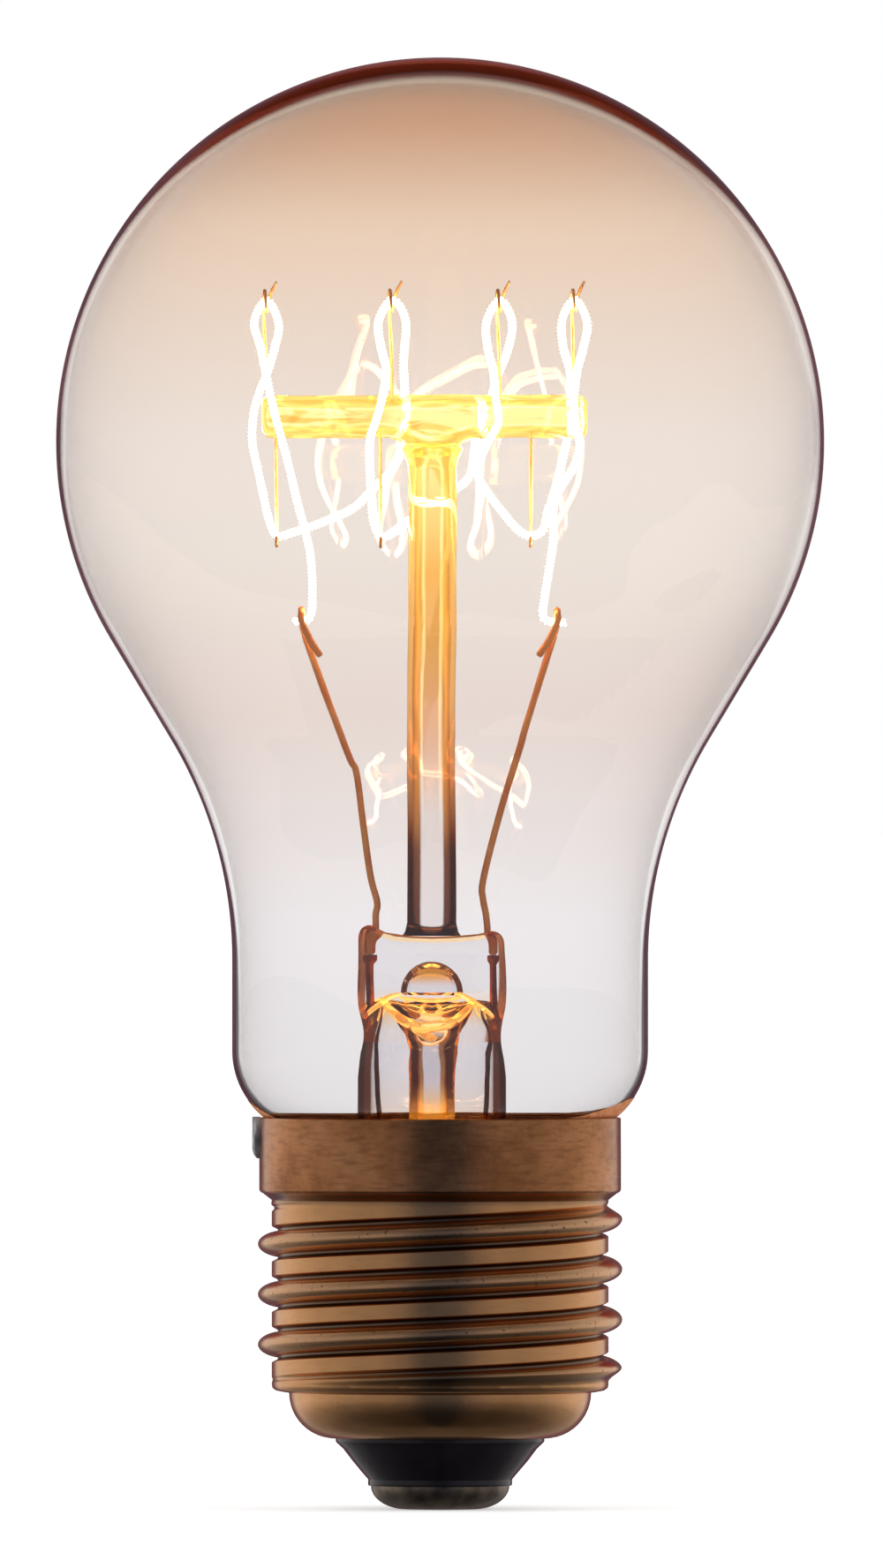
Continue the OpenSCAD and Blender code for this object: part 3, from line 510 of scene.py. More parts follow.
def basing_cement():
    """Baked basing cement: matt orange-brown, with fine grains."""
    finish, _ = cast_finish("baked_cement", "#C87038", "#F0A470", grain=0.4, detail=6.0, roughness=0.85,
                            bump_strength=0.5, bump_depth=0.1)
    return finish


def lit_strand():
    """White-hot strand: it gives light and hides its own surface."""
    finish, tree, shader, place = new_finish("lit_strand")
    heat = add(tree, "TexNoise", {"Vector": place, "Scale": 1 / (2 * MM), "Detail": 2.0})
    colour = add(tree, "ValToRGB", heat, stops={0.3: "#FFE0B0", 0.7: "#FFF0D0"})
    fill(tree, shader, {"Emission Color": colour, "Base Color": "#FFDFA8", "Emission Strength": 14.0})
    return finish


# Glass pieces


def glass_side(inset, crown_inset):
    """One side of the envelope's glass as (radius, height), from the crown down to the foot."""
    sweep = 90 + SHOULDER_ANGLE
    steps = ceil(sweep / 1.5)
    side = []
    for i in range(steps + 1):
        a = radians(90 - sweep * i / steps)
        r = GLOBE_R - inset - (crown_inset - inset) * max(0.0, sin(a)) ** 3
        side.append((0.0 if i == 0 else r * cos(a), GLOBE_Z + r * sin(a)))
    cone_top_r = GLOBE_R * cos(radians(SHOULDER_ANGLE))
    cone_top_z = GLOBE_Z - GLOBE_R * sin(radians(SHOULDER_ANGLE))
    blend_x = NECK_R + SHOULDER_BLEND_R
    cone_end_r = blend_x - SHOULDER_BLEND_R * cos(radians(SHOULDER_ANGLE))
    cone_end_z = cone_top_z - (cone_top_r - cone_end_r) / tan(radians(SHOULDER_ANGLE))
    blend_z = cone_end_z - SHOULDER_BLEND_R * sin(radians(SHOULDER_ANGLE))
    side += arc(blend_x, blend_z, SHOULDER_BLEND_R + inset, 180 - SHOULDER_ANGLE, 180, 1.0)
    # The glass is drawn thinner where the neck rolls in to its foot
    roll_steps, thinning_steps, thinned = 15, 12, 0.65
    for i in range(roll_steps + 1):
        a = radians(NECK_FOOT_ANGLE * i / roll_steps)
        r = NECK_ROLL_R - inset * (1 - thinned * smooth_step(i / thinning_steps))
        side.append((NECK_ROLL_X + r * cos(a), NECK_ROLL_Z - r * sin(a)))
    bend_z = NECK_ROLL_Z - NECK_ROLL_R * sin(radians(NECK_FOOT_ANGLE))
    return side + [(NECK_FOOT_R - inset, bend_z - inset), (NECK_FOOT_R - inset, NECK_FOOT_Z)]


def make_envelope(outside, inside):
    """The blown bulb: the inner skin ripples a little, as blown glass does."""
    ripple, sides = 0.035, 160
    outer = [circle(r, z, sides) for r, z in glass_side(0.0, 0.0)]
    inner = []
    for r, z in reversed(glass_side(GLASS_T, CROWN_T)):
        ring = circle(r, z, sides)
        if len(ring) > 1:
            swells = [1 + ripple * uneven(point, 9.0, 3) / r for point in ring]
            ring = [tuple(Vector((x, y, 0)) * swell + Vector((0, 0, z)))
                    for (x, y, z), swell in zip(ring, swells)]
        inner.append(ring)
    skin = lofted(outer + inner)
    parts = [0 if i // sides < len(outer) else 1 for i in range(len(skin[1]))]
    make_piece("envelope_glass", skin, outside, "bulb_glass", "envelope", crease=60.0, more=(inside,),
               parts=parts)


def stadium(half_w, half_t, z, sides):
    """A ring that goes from a circle to a flat bar with round edges, as the press is squeezed."""
    straight = max(0.0, half_w - half_t)
    ring = []
    for a in full_turn(sides):
        share = copysign(1.0, cos(a)) * min(1.0, abs(cos(a)) * 6)
        ring.append((STEM_X + half_t * cos(a) + straight * share, half_t * sin(a), z))
    return ring


def make_flare_and_press(press, flare, bore):
    """The flare tube and its press in one piece, with the blown bubble over the exhaust tube."""
    sides = 96
    spread = 3.4
    outer_x, trumpet_z = FLARE_R + spread, NECK_FOOT_Z + FLARE_T + spread
    foot = NECK_FOOT_R - GLASS_T + STEM_X - 0.1
    # The outer skin climbs from the foot over the trumpet and the tube to the press
    outer = [circle(foot, NECK_FOOT_Z, sides, STEM_X), circle(foot, NECK_FOOT_Z + FLARE_T, sides, STEM_X)]
    outer += [circle(r, z, sides, STEM_X) for r, z in arc(outer_x, trumpet_z, spread, 268, 180, 6)]
    # The flare's finish goes on for five rings into the press
    flare_bands = len(outer) + 5
    steps = 14
    low_z = PRESS_BOTTOM_Z - 1.5
    for i in range(1, steps + 1):
        t = smooth_step(i / steps)
        waist = 0.35 * sin(pi * i / steps) ** 2
        outer.append(stadium(FLARE_R + (PRESS_W / 2 - FLARE_R) * t - waist,
                             FLARE_R + (PRESS_T / 2 - FLARE_R) * t,
                             low_z + (PRESS_FLAT_Z - low_z) * i / steps, sides))
    top_round = 1.1
    for i in range(1, 9):
        z = PRESS_FLAT_Z + (PRESS_TOP_Z - top_round - PRESS_FLAT_Z) * i / 8
        outer.append(stadium(PRESS_W / 2, PRESS_T / 2, z, sides))
    for i in range(1, 10):
        a = radians(9.5 * i)
        inset = top_round * (1 - cos(a))
        outer.append(stadium(PRESS_W / 2 - inset, PRESS_T / 2 - inset,
                             PRESS_TOP_Z - top_round * (1 - sin(a)), sides))
    outer += [stadium(3.4, 0.8, PRESS_TOP_Z, sides), stadium(1.6, 0.4, PRESS_TOP_Z, sides),
              [(STEM_X, 0.0, PRESS_TOP_Z)]]
    outer = [[press_lumps(p) for p in ring] for ring in outer]
    # The inner skin is the tube's bore, which narrows into the cavity round the exhaust tube
    cavity_w, cavity_t = LEAD_SPREAD - 0.1, PRESS_T / 2 - FLARE_T
    bore_r = FLARE_R - FLARE_T
    inner = [[(STEM_X, 0.0, PRESS_FLAT_Z - 0.5)]]
    for i in range(1, 9):
        a = radians(90 * i / 8)
        inner.append(sagging(stadium(cavity_w * sin(a), cavity_t * sin(a),
                                     PRESS_FLAT_Z - 0.9 + 0.4 * cos(a), sides)))
    for i in range(1, steps + 1):
        t = smooth_step(1 - i / steps)
        z = PRESS_FLAT_Z - 0.9 - (PRESS_FLAT_Z - low_z - 0.9) * i / steps
        inner.append(sagging(stadium(bore_r + (cavity_w - bore_r) * t, bore_r + (cavity_t - bore_r) * t, z,
                                     sides)))
    inner += [circle(r, z, sides, STEM_X)
              for r, z in arc(outer_x, trumpet_z, spread + FLARE_T, 180, 262, 6)]
    points, faces = lofted(list(reversed(outer)) + list(reversed(inner)))
    bands = len(outer) - 1
    parts = [0 if i // sides < bands - flare_bands else 1 if i // sides < bands else 2
             for i in range(len(faces))]
    # The top edge is fire-polished between the leads, and painted gold there as a painted highlight
    top_bands, polished_gold_half = 8, 4.1
    for i, face in enumerate(faces[: top_bands * sides]):
        if all(abs(points[n][0] - STEM_X) < polished_gold_half for n in face):
            parts[i] = 4
    bubble = lofted([circle(r, z, 48, STEM_X, depth=0.55) for r, z in
                     [(0.0, PRESS_FLAT_Z + 0.3), (1.9, PRESS_FLAT_Z + 0.3)]
                     + arc(0.0, PRESS_FLAT_Z + 0.5, 2.2, 0, 84, 7) + [(0.0, PRESS_FLAT_Z + 2.7)]], void=True)
    parts += [3] * len(bubble[1])
    more = (flare, bore, bubble_glass(), press_edge_glass())
    make_piece("flare_and_press", joined((points, faces), bubble), press, "stem_glass",
               "stem_flare", "stem_press", more=more, parts=parts)


def sagging(ring):
    """The cavity's rim sags in the middle and lifts to wings over the leads, as pinched glass does."""
    lift = smooth_step((ring[0][2] - PRESS_BOTTOM_Z) / 2.0)
    return [(x, y, z + lift * (0.05 - 0.55 * cos(min(3.14, abs(x - STEM_X) * 0.95))))
            for x, y, z in ring]


def press_lumps(point):
    """The press is shaped by hand: raised shoulders round the leads, and a top that sags between."""
    x, y, z = point
    if z < PRESS_BOTTOM_Z:
        return point
    upper = smooth_step((z - PRESS_TOP_Z + 2.5) / 2.2)
    across = (x - STEM_X) / (PRESS_W / 2)
    left, right = smooth_step((-across - 0.55) / 0.3), smooth_step((across - 0.6) / 0.3)
    rise = 0.5 * left + 0.1 * right - 0.5 * (1 - across * across)
    wave = 0.12 * uneven((x, y, z), 3.0, 11)
    return x + wave, y * (1 + 0.05 * uneven((x, y, z), 2.5, 7)), z + rise * upper


def make_seal_folds(finish):
    """The folded lips of the pinch on its front and back: a sagging bowl with two wings."""
    bowl = [(-3.4, 36.7), (-3.05, 36.1), (-2.2, 35.3), (-1.2, 34.8), (-0.23, 34.6), (0.8, 34.8), (1.8, 35.3),
            (2.6, 36.1), (2.9, 36.6)]
    left_wing = [(-4.7, 35.5), (-3.9, 36.2), (-2.95, 36.95), (-2.2, 37.15)]
    right_wing = [(4.2, 35.5), (3.3, 36.3), (2.2, 37.05), (1.6, 37.15)]
    inner_lip = [(-1.9, 36.6), (-1.2, 35.9), (-0.3, 35.5), (0.3, 35.5), (1.2, 35.9), (1.8, 36.6)]
    upper_lip = [(-2.3, 36.9), (-1.2, 36.75), (0.0, 36.65), (1.1, 36.75), (2.0, 36.95)]
    left_fold = [(-0.4, 36.4), (-0.75, 36.0), (-0.45, 35.6)]
    right_fold = [(0.3, 36.4), (0.6, 36.0), (0.3, 35.6)]
    skins = []
    for side in (-1, 1):
        for line, r, depth in ((bowl, 0.34, 1.05), (left_wing, 0.22, 1.1), (right_wing, 0.22, 1.1),
                               (inner_lip, 0.2, 0.8), (upper_lip, 0.16, 0.9), (left_fold, 0.14, 1.3),
                               (right_fold, 0.14, 1.3)):
            path = [(STEM_X + x, side * (depth + 0.25 * uneven((x, z, 0), 2.0, 17)), z) for x, z in line]
            path = smooth_path(path, 6)
            radii = [r * (0.45 + 0.55 * sin(pi * (i + 0.5) / len(path)) ** 0.5)
                     for i in range(len(path))]
            skins.append(swept(path, radii, 12))
    make_piece("seal_folds", joined(*skins), finish, "stem_glass", "stem_press")


def make_exhaust_tube(finish):
    """The exhaust tube, melted shut below and opened into a flattened funnel in the press."""
    bore = EXHAUST_R - EXHAUST_T
    tip = EXHAUST_TIP_Z + EXHAUST_R
    funnel_z = PRESS_FLAT_Z - 2.6
    outside = arc(0.0, tip, EXHAUST_R, -90, 0, 10) + [
        (EXHAUST_R, funnel_z - 6), (EXHAUST_R, funnel_z), (EXHAUST_R + 0.3, funnel_z + 0.4),
        (EXHAUST_R + 1.1, funnel_z + 1.3), (EXHAUST_R + 1.6, funnel_z + 2.2)]
    inside = [(EXHAUST_R + 1.2, funnel_z + 2.3), (EXHAUST_R + 0.6, funnel_z + 1.7),
              (bore + 0.4, funnel_z + 1.1), (bore, funnel_z + 0.4), (bore, funnel_z - 6)]
    inside += arc(0.0, tip + EXHAUST_T, bore, 0, -90, 10)
    outside[0] = (0.0, outside[0][1])
    inside[-1] = (0.0, inside[-1][1])

    def depth(z):
        return 1 - 0.56 * smooth_step((z - funnel_z) / 2.2)

    rings = [circle(r, z, 64, STEM_X, depth(z)) for r, z in outside + inside]
    make_piece("exhaust_tube_glass", lofted(rings), finish, "stem_glass", "exhaust_tube")


def make_arbor_rod(finish):
    """The rod that carries the cross-bar, with a small melted foot."""
    top = BAR_Z - BAR_R - 1.2
    foot_z = PRESS_TOP_Z - 0.44
    profile = [(0.0, foot_z), (ARBOR_R + 0.35, foot_z), (ARBOR_R + 0.15, foot_z + 0.3)]
    steps = 24
    profile += [(ARBOR_R, PRESS_TOP_Z + 0.5 + i * (top - PRESS_TOP_Z - 1.5) / steps)
                for i in range(steps + 1)]
    profile += [(ARBOR_R + 0.08, top - 0.5), (ARBOR_R + 0.3, top), (ARBOR_R + 0.45, top + 0.45),
                (ARBOR_R + 0.2, top + 0.8), (0.0, top + 0.85)]
    rings = [[(x + 0.05 * uneven((x, y, z), 6.0, 21), y, z) for x, y, z in circle(r, z, 64, STEM_X)]
             for r, z in profile]
    make_piece("arbor_rod_glass", lofted(rings), finish, "stem_glass", "arbor_rod")


def make_cross_bar(finish):
    """The cross-bar: a drawn bar with melted ends, and the saddle that fuses it to the rod."""
    half, edge = BAR_LENGTH / 2, 0.6
    saddle_half, saddle_depth = 3.4, 1.2
    rings = []
    stations = [(0.0, -half)]
    ends = [(BAR_R - edge + edge * sin(radians(a)), half - edge + edge * cos(radians(a)))
            for a in range(0, 91, 15)]
    stations += [(r, -x) for r, x in ends]
    stations += [(BAR_R, -half + edge + i * (BAR_LENGTH - 2 * edge) / 60) for i in range(1, 60)]
    stations += [(r, x) for r, x in reversed(ends)] + [(0.0, half)]
    for r, along in stations:
        if r < 1e-6:
            rings.append([(BAR_X + along, 0.0, BAR_Z)])
            continue
        ring = []
        x = BAR_X + along
        saddle = smooth_step(1 - abs(x - STEM_X) / saddle_half)
        for a in full_turn(48):
            down = max(0.0, -sin(a)) ** 2
            swell = 1 + 0.035 * uneven((x, 0, 3 * a), 2.2, 5)
            reach = r * swell + (saddle_depth * saddle * down if r > BAR_R - 0.01 else 0.0)
            narrow = 1 - 0.1 * saddle * down
            ring.append((x, reach * narrow * cos(a), BAR_Z + reach * sin(a)))
        rings.append(ring)
    make_piece("cross_bar_glass", lofted(rings), finish, "stem_glass", "cross_bar")


# Cap pieces


def crest_distance(z, angle):
    """Distance above the nearest crest, which climbs by one pitch in each right-hand turn."""
    turns = (z - THREAD_MID_Z) / THREAD_PITCH - (angle - 180) / 360
    return (turns - round(turns)) * THREAD_PITCH


def thread_r(z, angle):
    """Radius of the rolled thread: a round crest, a groove on each side, then a flat band."""
    a = abs(crest_distance(z, angle))
    if a < THREAD_CREST_HALF:
        bulge = (1 - (a / THREAD_CREST_HALF) ** 2) ** 0.6
        rolled = THREAD_GROOVE_R + (THREAD_CREST_R - THREAD_GROOVE_R) * bulge
    else:
        step = smooth_step((a - THREAD_CREST_HALF - 0.12) / 0.3)
        rolled = THREAD_GROOVE_R + (THREAD_BAND_R - THREAD_GROOVE_R) * step
    fade = smooth_step((THREAD_TOP_Z - z) / 1.3) * smooth_step((z - THREAD_BOTTOM_Z) / 1.3)
    return THREAD_BAND_R + (rolled - THREAD_BAND_R) * fade


def welded(points, faces):
    """A skin with each place once, and without the faces that fall together."""
    numbers, places, kept = [], {}, []
    for point in points:
        key = tuple(round(c, 4) for c in point)
        if key not in places:
            places[key] = len(kept)
            kept.append(point)
        numbers.append(places[key])
    rings = [[numbers[i] for i in face] for face in faces]
    rings = [tuple(n for i, n in enumerate(ring) if n != ring[i - 1]) for ring in rings]
    return kept, [ring for ring in rings if len(ring) > 2]


def make_screw_shell(finish):
    """The rolled shell with its skirt, thread and rounded bottom edge. Its rows follow the thread."""
    columns = 240
    # Heights of the rows above a crest, closer together where the sheet bends
    half = [0.18, 0.36, 0.52, 0.65, 0.75, 0.82, 0.865, 0.89, 0.9, 0.96, 1.02, 1.09, 1.16, 1.23,
            1.28, 1.3, 1.32, 1.34, 1.56]
    rows = [-THREAD_PITCH / 2] + [-h for h in reversed(half)] + [0.0] + half
    turns = range(-2, 3)
    below = arc(SHELL_MOUTH_R, DOME_Z, DOME_R, -90, 0, 7.5) + [(11.3, 8.45), (11.85, 8.56), (12.1, 8.74)]
    above = arc(SKIRT_R - 0.3, SKIRT_BOTTOM_Z + 0.3, 0.3, -80, 0, 20)
    above += [(SKIRT_R, SKIRT_BOTTOM_Z + 0.6 * i) for i in range(2, 9)]
    above += arc(SKIRT_R - 0.12, SKIRT_TOP_Z - 0.12, 0.12, 0, 90, 30)
    above += [(SKIRT_IN_R, SKIRT_TOP_Z), (SKIRT_IN_R, SKIRT_BOTTOM_Z + SHEET_T),
              (THREAD_GROOVE_R - SHEET_T, THREAD_TOP_Z), (THREAD_GROOVE_R - SHEET_T, THREAD_BOTTOM_Z)]
    above += arc(SHELL_MOUTH_R, DOME_Z, DOME_R - SHEET_T, 0, -90, 15)
    points = []
    for c in range(columns):
        angle = 360 * c / columns
        shift = THREAD_MID_Z + THREAD_PITCH * (angle - 180) / 360
        heights = [min(THREAD_TOP_Z, max(THREAD_BOTTOM_Z, shift + THREAD_PITCH * turn + row))
                   for turn in turns for row in rows]
        side = below + [(thread_r(z, angle), z) for z in heights + [THREAD_TOP_Z]] + above
        a = radians(angle)
        for r, z in side:
            reach = r + min(0.0, 0.04 * uneven((r * cos(a), r * sin(a), z), 5.0, 31))
            points.append((reach * cos(a), reach * sin(a), z))
    count = len(points) // columns
    first, last = len(below), len(below) + len(rows) * len(turns)

    def number(c, i):
        """The number of a point. Past the seam the thread has climbed by one pitch."""
        if c == columns and first <= i <= last:
            i = min(last, i + len(rows))
        return (c % columns) * count + i % count

    faces = [(number(c, i), number(c, (i + 1) % count), number(c + 1, (i + 1) % count), number(c + 1, i))
             for c in range(columns) for i in range(count)]
    skin = outward(*welded(points, faces))
    make_piece("screw_shell_brass", skin, finish, "cap_brass", "screw_shell", crease=50.0)


def button_side(inset):
    """Outline of the contact button's outer face as (radius, height), inset by a wall."""
    return [(CONTACT_FLAT_R + (CONTACT_R - CONTACT_FLAT_R - inset) * cos(radians(a)),
             INSULATOR_TIP_Z - (INSULATOR_TIP_Z - inset) * sin(radians(a)))
            for a in range(0, 91, 6)]


def make_insulator(finish):
    """The cast glass insulator: a cone with a small lip at each end."""
    profile = [(0.0, CONTACT_T)] + list(reversed(button_side(CONTACT_T)))
    profile += [(INSULATOR_TIP_R - 0.05, INSULATOR_TIP_Z), (INSULATOR_TIP_R, INSULATOR_TIP_Z + 0.1),
                (INSULATOR_TIP_R, INSULATOR_TIP_Z + 0.45), (5.55, 2.55), (6.35, 3.5), (7.0, 4.35),
                (7.5, 4.82), (SHELL_MOUTH_R - 0.06, SHELL_BASE_Z - 0.2),
                (SHELL_MOUTH_R - 0.06, SHELL_BASE_Z + 0.5), (0.0, SHELL_BASE_Z + 0.5)]
    ripple, ripple_size = 0.006, 1.6

    def swell(point, seed):
        return 1 + ripple * uneven(point, ripple_size, seed)

    rings = [[(p[0] * swell(p, 41), p[1] * swell(p, 43), p[2]) for p in circle(r, z, 128)]
             for r, z in profile]
    make_piece("insulator_glass", lofted(rings), finish, "black_glass", "cap_insulator", crease=25.0)


def make_contact(finish):
    """The stamped contact button with its soldered hole."""
    outer, inner = button_side(0.0), button_side(CONTACT_T)
    profile = [(CONTACT_HOLE_R, 0.05)] + list(reversed(outer)) + inner + [(CONTACT_HOLE_R, CONTACT_T)]
    make_piece("contact_button", turned(profile, 96), finish, "contact_brass", "centre_contact")


def make_solders(finish):
    """The solder bead on the contact and the flat blob at the skirt's rim."""
    bead_r = CONTACT_HOLE_R - 0.02
    bead = [(0.0, 0.0), (0.7, 0.02), (bead_r, 0.12), (bead_r, 0.45), (0.0, 0.45)]
    make_piece("contact_solder", turned(bead, 48, closed=False), finish, "solder", "centre_solder")
    rings = []
    steps, blob_height = 12, 3.0
    for i in range(steps + 1):
        t = i / steps
        z = SOLDER_Z + 1.2 - blob_height * t
        width = 0.35 + 0.9 * sin(pi * min(1.0, 0.2 + t * 0.8)) ** 0.6
        proud = 0.12 + 0.34 * min(1.0, 4.5 * (1 - t)) ** 0.5
        ring = []
        for a in full_turn(20):
            swell = 1 + 0.12 * uneven((3 * cos(a), 3 * sin(a), z), 1.2, 51)
            ring.append((-SKIRT_R - 0.05 - proud * cos(a) * swell if cos(a) > 0
                         else -SKIRT_R + 0.1 - 0.02 * cos(a), width * sin(a) * swell, z))
        rings.append(ring)
    make_piece("skirt_solder", lofted(rings), finish, "solder", "side_solder")


def make_cement(finish):
    """Cement between the neck and the skirt, which climbed unevenly up the neck at both sides."""
    bend_z = NECK_ROLL_Z - NECK_ROLL_R * sin(radians(NECK_FOOT_ANGLE))
    columns = []
    # How high it climbs at each side, and how far round in degrees
    right_climb, right_reach, left_climb, left_reach = 1.95, 62, 1.7, 32
    for a in full_turn(180):
        right = smooth_step(1 - degrees(min(a, 2 * pi - a)) / right_reach)
        left = smooth_step(1 - degrees(abs(a - pi)) / left_reach)
        rough = uneven((3 * cos(a), 3 * sin(a), 0), 0.5, 61)
        climb = -0.35 + right_climb * right + left_climb * left + 0.12 * rough
        neck = []
        for k in range(6):
            z = SKIRT_TOP_Z - 0.1 + climb * k / 5
            on_glass = NECK_ROLL_X + sqrt(NECK_ROLL_R**2 - (z - NECK_ROLL_Z) ** 2)
            neck.append((on_glass, z))
        side = [(NECK_FOOT_R + 0.02, NECK_FOOT_Z + 0.1), (SKIRT_IN_R - 0.06, NECK_FOOT_Z + 0.1),
                (SKIRT_IN_R - 0.06, SKIRT_TOP_Z - 0.2)]
        side += [(r + 0.1 + 0.05 * rough - 0.012 * k, z) for k, (r, z) in enumerate(neck)]
        side += [(r + 0.015, z) for r, z in reversed(neck)] + [(NECK_FOOT_R + 0.05, bend_z)]
        columns.append([(r * cos(a), r * sin(a), z) for r, z in side])
    rings = [[column[i] for column in columns] for i in range(len(columns[0]))]
    make_piece("cement_ring", lofted(rings, closed=True), finish, "cement", "basing_cement")


# Wires and strand

UPPER_HOOK_X = (-12.5, -3.5, 4.3, 9.7)
LOWER_HOOK_X = (-11.8, -4.3, 6.6)
LEFT_CLAMP_X, RIGHT_CLAMP_X = -10.0, 8.5
LEFT_LEAD_BENDS = [(0, 0.05), (0.1, 0.09), (-0.4, 0.18), (-1, 0.36), (-1.5, 0.52), (-2.1, 0.58)]
RIGHT_LEAD_BENDS = [(-0.1, 0.05), (-0.3, 0.1), (-0.3, 0.16), (0.8, 0.36), (2, 0.55)]


def make_inner_lead(side_name, foot_x, top_x, bends, finish):
    """An inner lead: it rises from the press, leans out and folds over the strand's end."""
    side = copysign(1, top_x)
    rise = CLAMP_Z - PRESS_TOP_Z
    fold_r = (FILAMENT_D + LEAD_D) / 2 + HOOK_GAP
    path = [(foot_x, 0, SEAL_TOP_Z), (foot_x, 0, PRESS_TOP_Z - 0.5), (foot_x, 0, PRESS_TOP_Z + 0.1)]
    path += [(foot_x + dx, 0, PRESS_TOP_Z + rise * share) for dx, share in bends]
    path += [(top_x - side * 0.6, fold_r, CLAMP_Z - 2), (top_x, fold_r, CLAMP_Z),
             (top_x, fold_r * 0.7, CLAMP_Z + fold_r * 0.7), (top_x, 0, CLAMP_Z + fold_r),
             (top_x, -fold_r * 0.7, CLAMP_Z + fold_r * 0.7), (top_x, -fold_r, CLAMP_Z),
             (top_x - side * 0.6, -fold_r, CLAMP_Z - 1.2), (top_x - side * 1.4, -fold_r, CLAMP_Z - 2.4)]
    skin = rounded_wire(smooth_path(path, 6), LEAD_D / 2, 14)
    make_piece(f"inner_lead_{side_name}", skin, finish, "lead_wire", f"lead_inner_{side_name}")


def make_seal_wire(side_name, x, finish):
    """A seal wire in the press, with the bead where it is joined to the inner lead."""
    length = SEAL_TOP_Z - SEAL_BOTTOM_Z
    r = SEAL_WIRE_D / 2
    bead_r = r + 0.14
    profile = [(0.0, SEAL_BOTTOM_Z), (r, SEAL_BOTTOM_Z), (r, SEAL_BOTTOM_Z + length * 0.8),
               (bead_r, SEAL_BOTTOM_Z + length * 0.88), (bead_r, SEAL_TOP_Z - 0.05), (0.0, SEAL_TOP_Z)]
    skin = turned(profile, 24, x, closed=False)
    make_piece(f"seal_wire_{side_name}", skin, finish, "dumet", f"dumet_{side_name}")


def make_outer_leads(finish):
    """The outer leads: the left one to the skirt's rim, the right one down to the contact."""
    x, foot = LEAD_X[0], NECK_FOOT_Z
    cement_x = -(NECK_FOOT_R + SKIRT_IN_R - 0.06) / 2
    left = [(x, SEAL_BOTTOM_Z), (x, SEAL_BOTTOM_Z - 5), (x + 0.1, foot + 2.5), (x - 1.6, foot - 0.9),
            (x - 4, foot - 2), (-LEAD_PASS_R + 1.45, foot - 2), (-LEAD_PASS_R + 0.45, foot - 1.3),
            (-LEAD_PASS_R + 0.2, foot - 0.65), (-LEAD_PASS_R - 0.1, foot - 0.4),
            (cement_x + 0.1, foot - 0.25), (cement_x, foot + 0.25), (cement_x, foot + 1.2),
            (cement_x, SOLDER_Z - 0.5), (cement_x - 0.15, SOLDER_Z + 0.1), (-SKIRT_R - 0.1, SOLDER_Z + 0.1)]
    x = LEAD_X[1]
    right = [(x, SEAL_BOTTOM_Z), (x, SEAL_BOTTOM_Z - 6), (x - 0.3, TRUMPET_TOP_Z - 6),
             (x - 0.4, EXHAUST_TIP_Z + 3), (x - 1.5, EXHAUST_TIP_Z - 0.5), (0, DOME_Z + 1.8), (0, DOME_Z),
             (0, CONTACT_T + 0.4)]
    for side_name, route in (("left", left), ("right", right)):
        path = smooth_path([(x, 0, z) for x, z in route], 6)
        make_piece(f"outer_lead_{side_name}", rounded_wire(path, SEAL_WIRE_D / 2), finish, "outer_wire",
                   f"lead_outer_{side_name}")


def make_hook(place, number, x, way, bends, eye, finish):
    """A hook wire: its foot, its bends and its eye. Way is 1 for up and -1 for down.

    The foot stands in the bar, also where its loop hangs past the bar's end.
    """
    reach = BAR_LENGTH / 2 - 0.6
    foot_x = min(BAR_X + reach, max(BAR_X - reach, x))
    foot = [(foot_x, 0, BAR_Z + way * BAR_R + way * rise) for rise in (-0.8, 0, 0.5)]
    path = smooth_path(foot + bends, 8) + [Vector(p) for p in eye]
    make_piece(f"{place}_hook_wire_{number}", rounded_wire(path, HOOK_D / 2), finish, "hook_wire",
               f"{place}_hook_{number}")


def make_upper_hook(number, x, finish):
    """An upper hook: up through a loop, one turn round the strand, and a short tail."""
    top_z = BAR_Z + UPPER_RISE
    side_step = 0.75 * (HOOK_D + 0.05)
    eye = []
    for angle in range(0, 361, 15):
        a = radians(angle)
        reach = EYE_R + 0.1 if sin(a) < 0 else EYE_R
        eye.append((x + side_step * (angle / 270 - 1), EYE_R * cos(a), top_z + reach * sin(a)))
    tail = [(x + 0.4, EYE_R, top_z + 0.8), (x + 0.7, EYE_R * 0.8, top_z + 1.4)]
    bends = [(x - 0.1, 0.1, top_z - 3), (x - side_step, EYE_R, top_z - 0.6)]
    make_hook("upper", number, x, 1, bends, eye + tail, finish)


def make_lower_hook(number, x, finish):
    """A lower hook: it hangs from the bar and curls under a bend of the strand."""
    low_z = BAR_Z - LOWER_DROP
    curl = [(x, EYE_R * cos(radians(a)), low_z + EYE_R * sin(radians(a))) for a in range(0, -181, -15)]
    make_hook("lower", number, x, -1, [(x, 0.3, low_z + 2.5), (x, EYE_R, low_z + 0.7)], curl, finish)


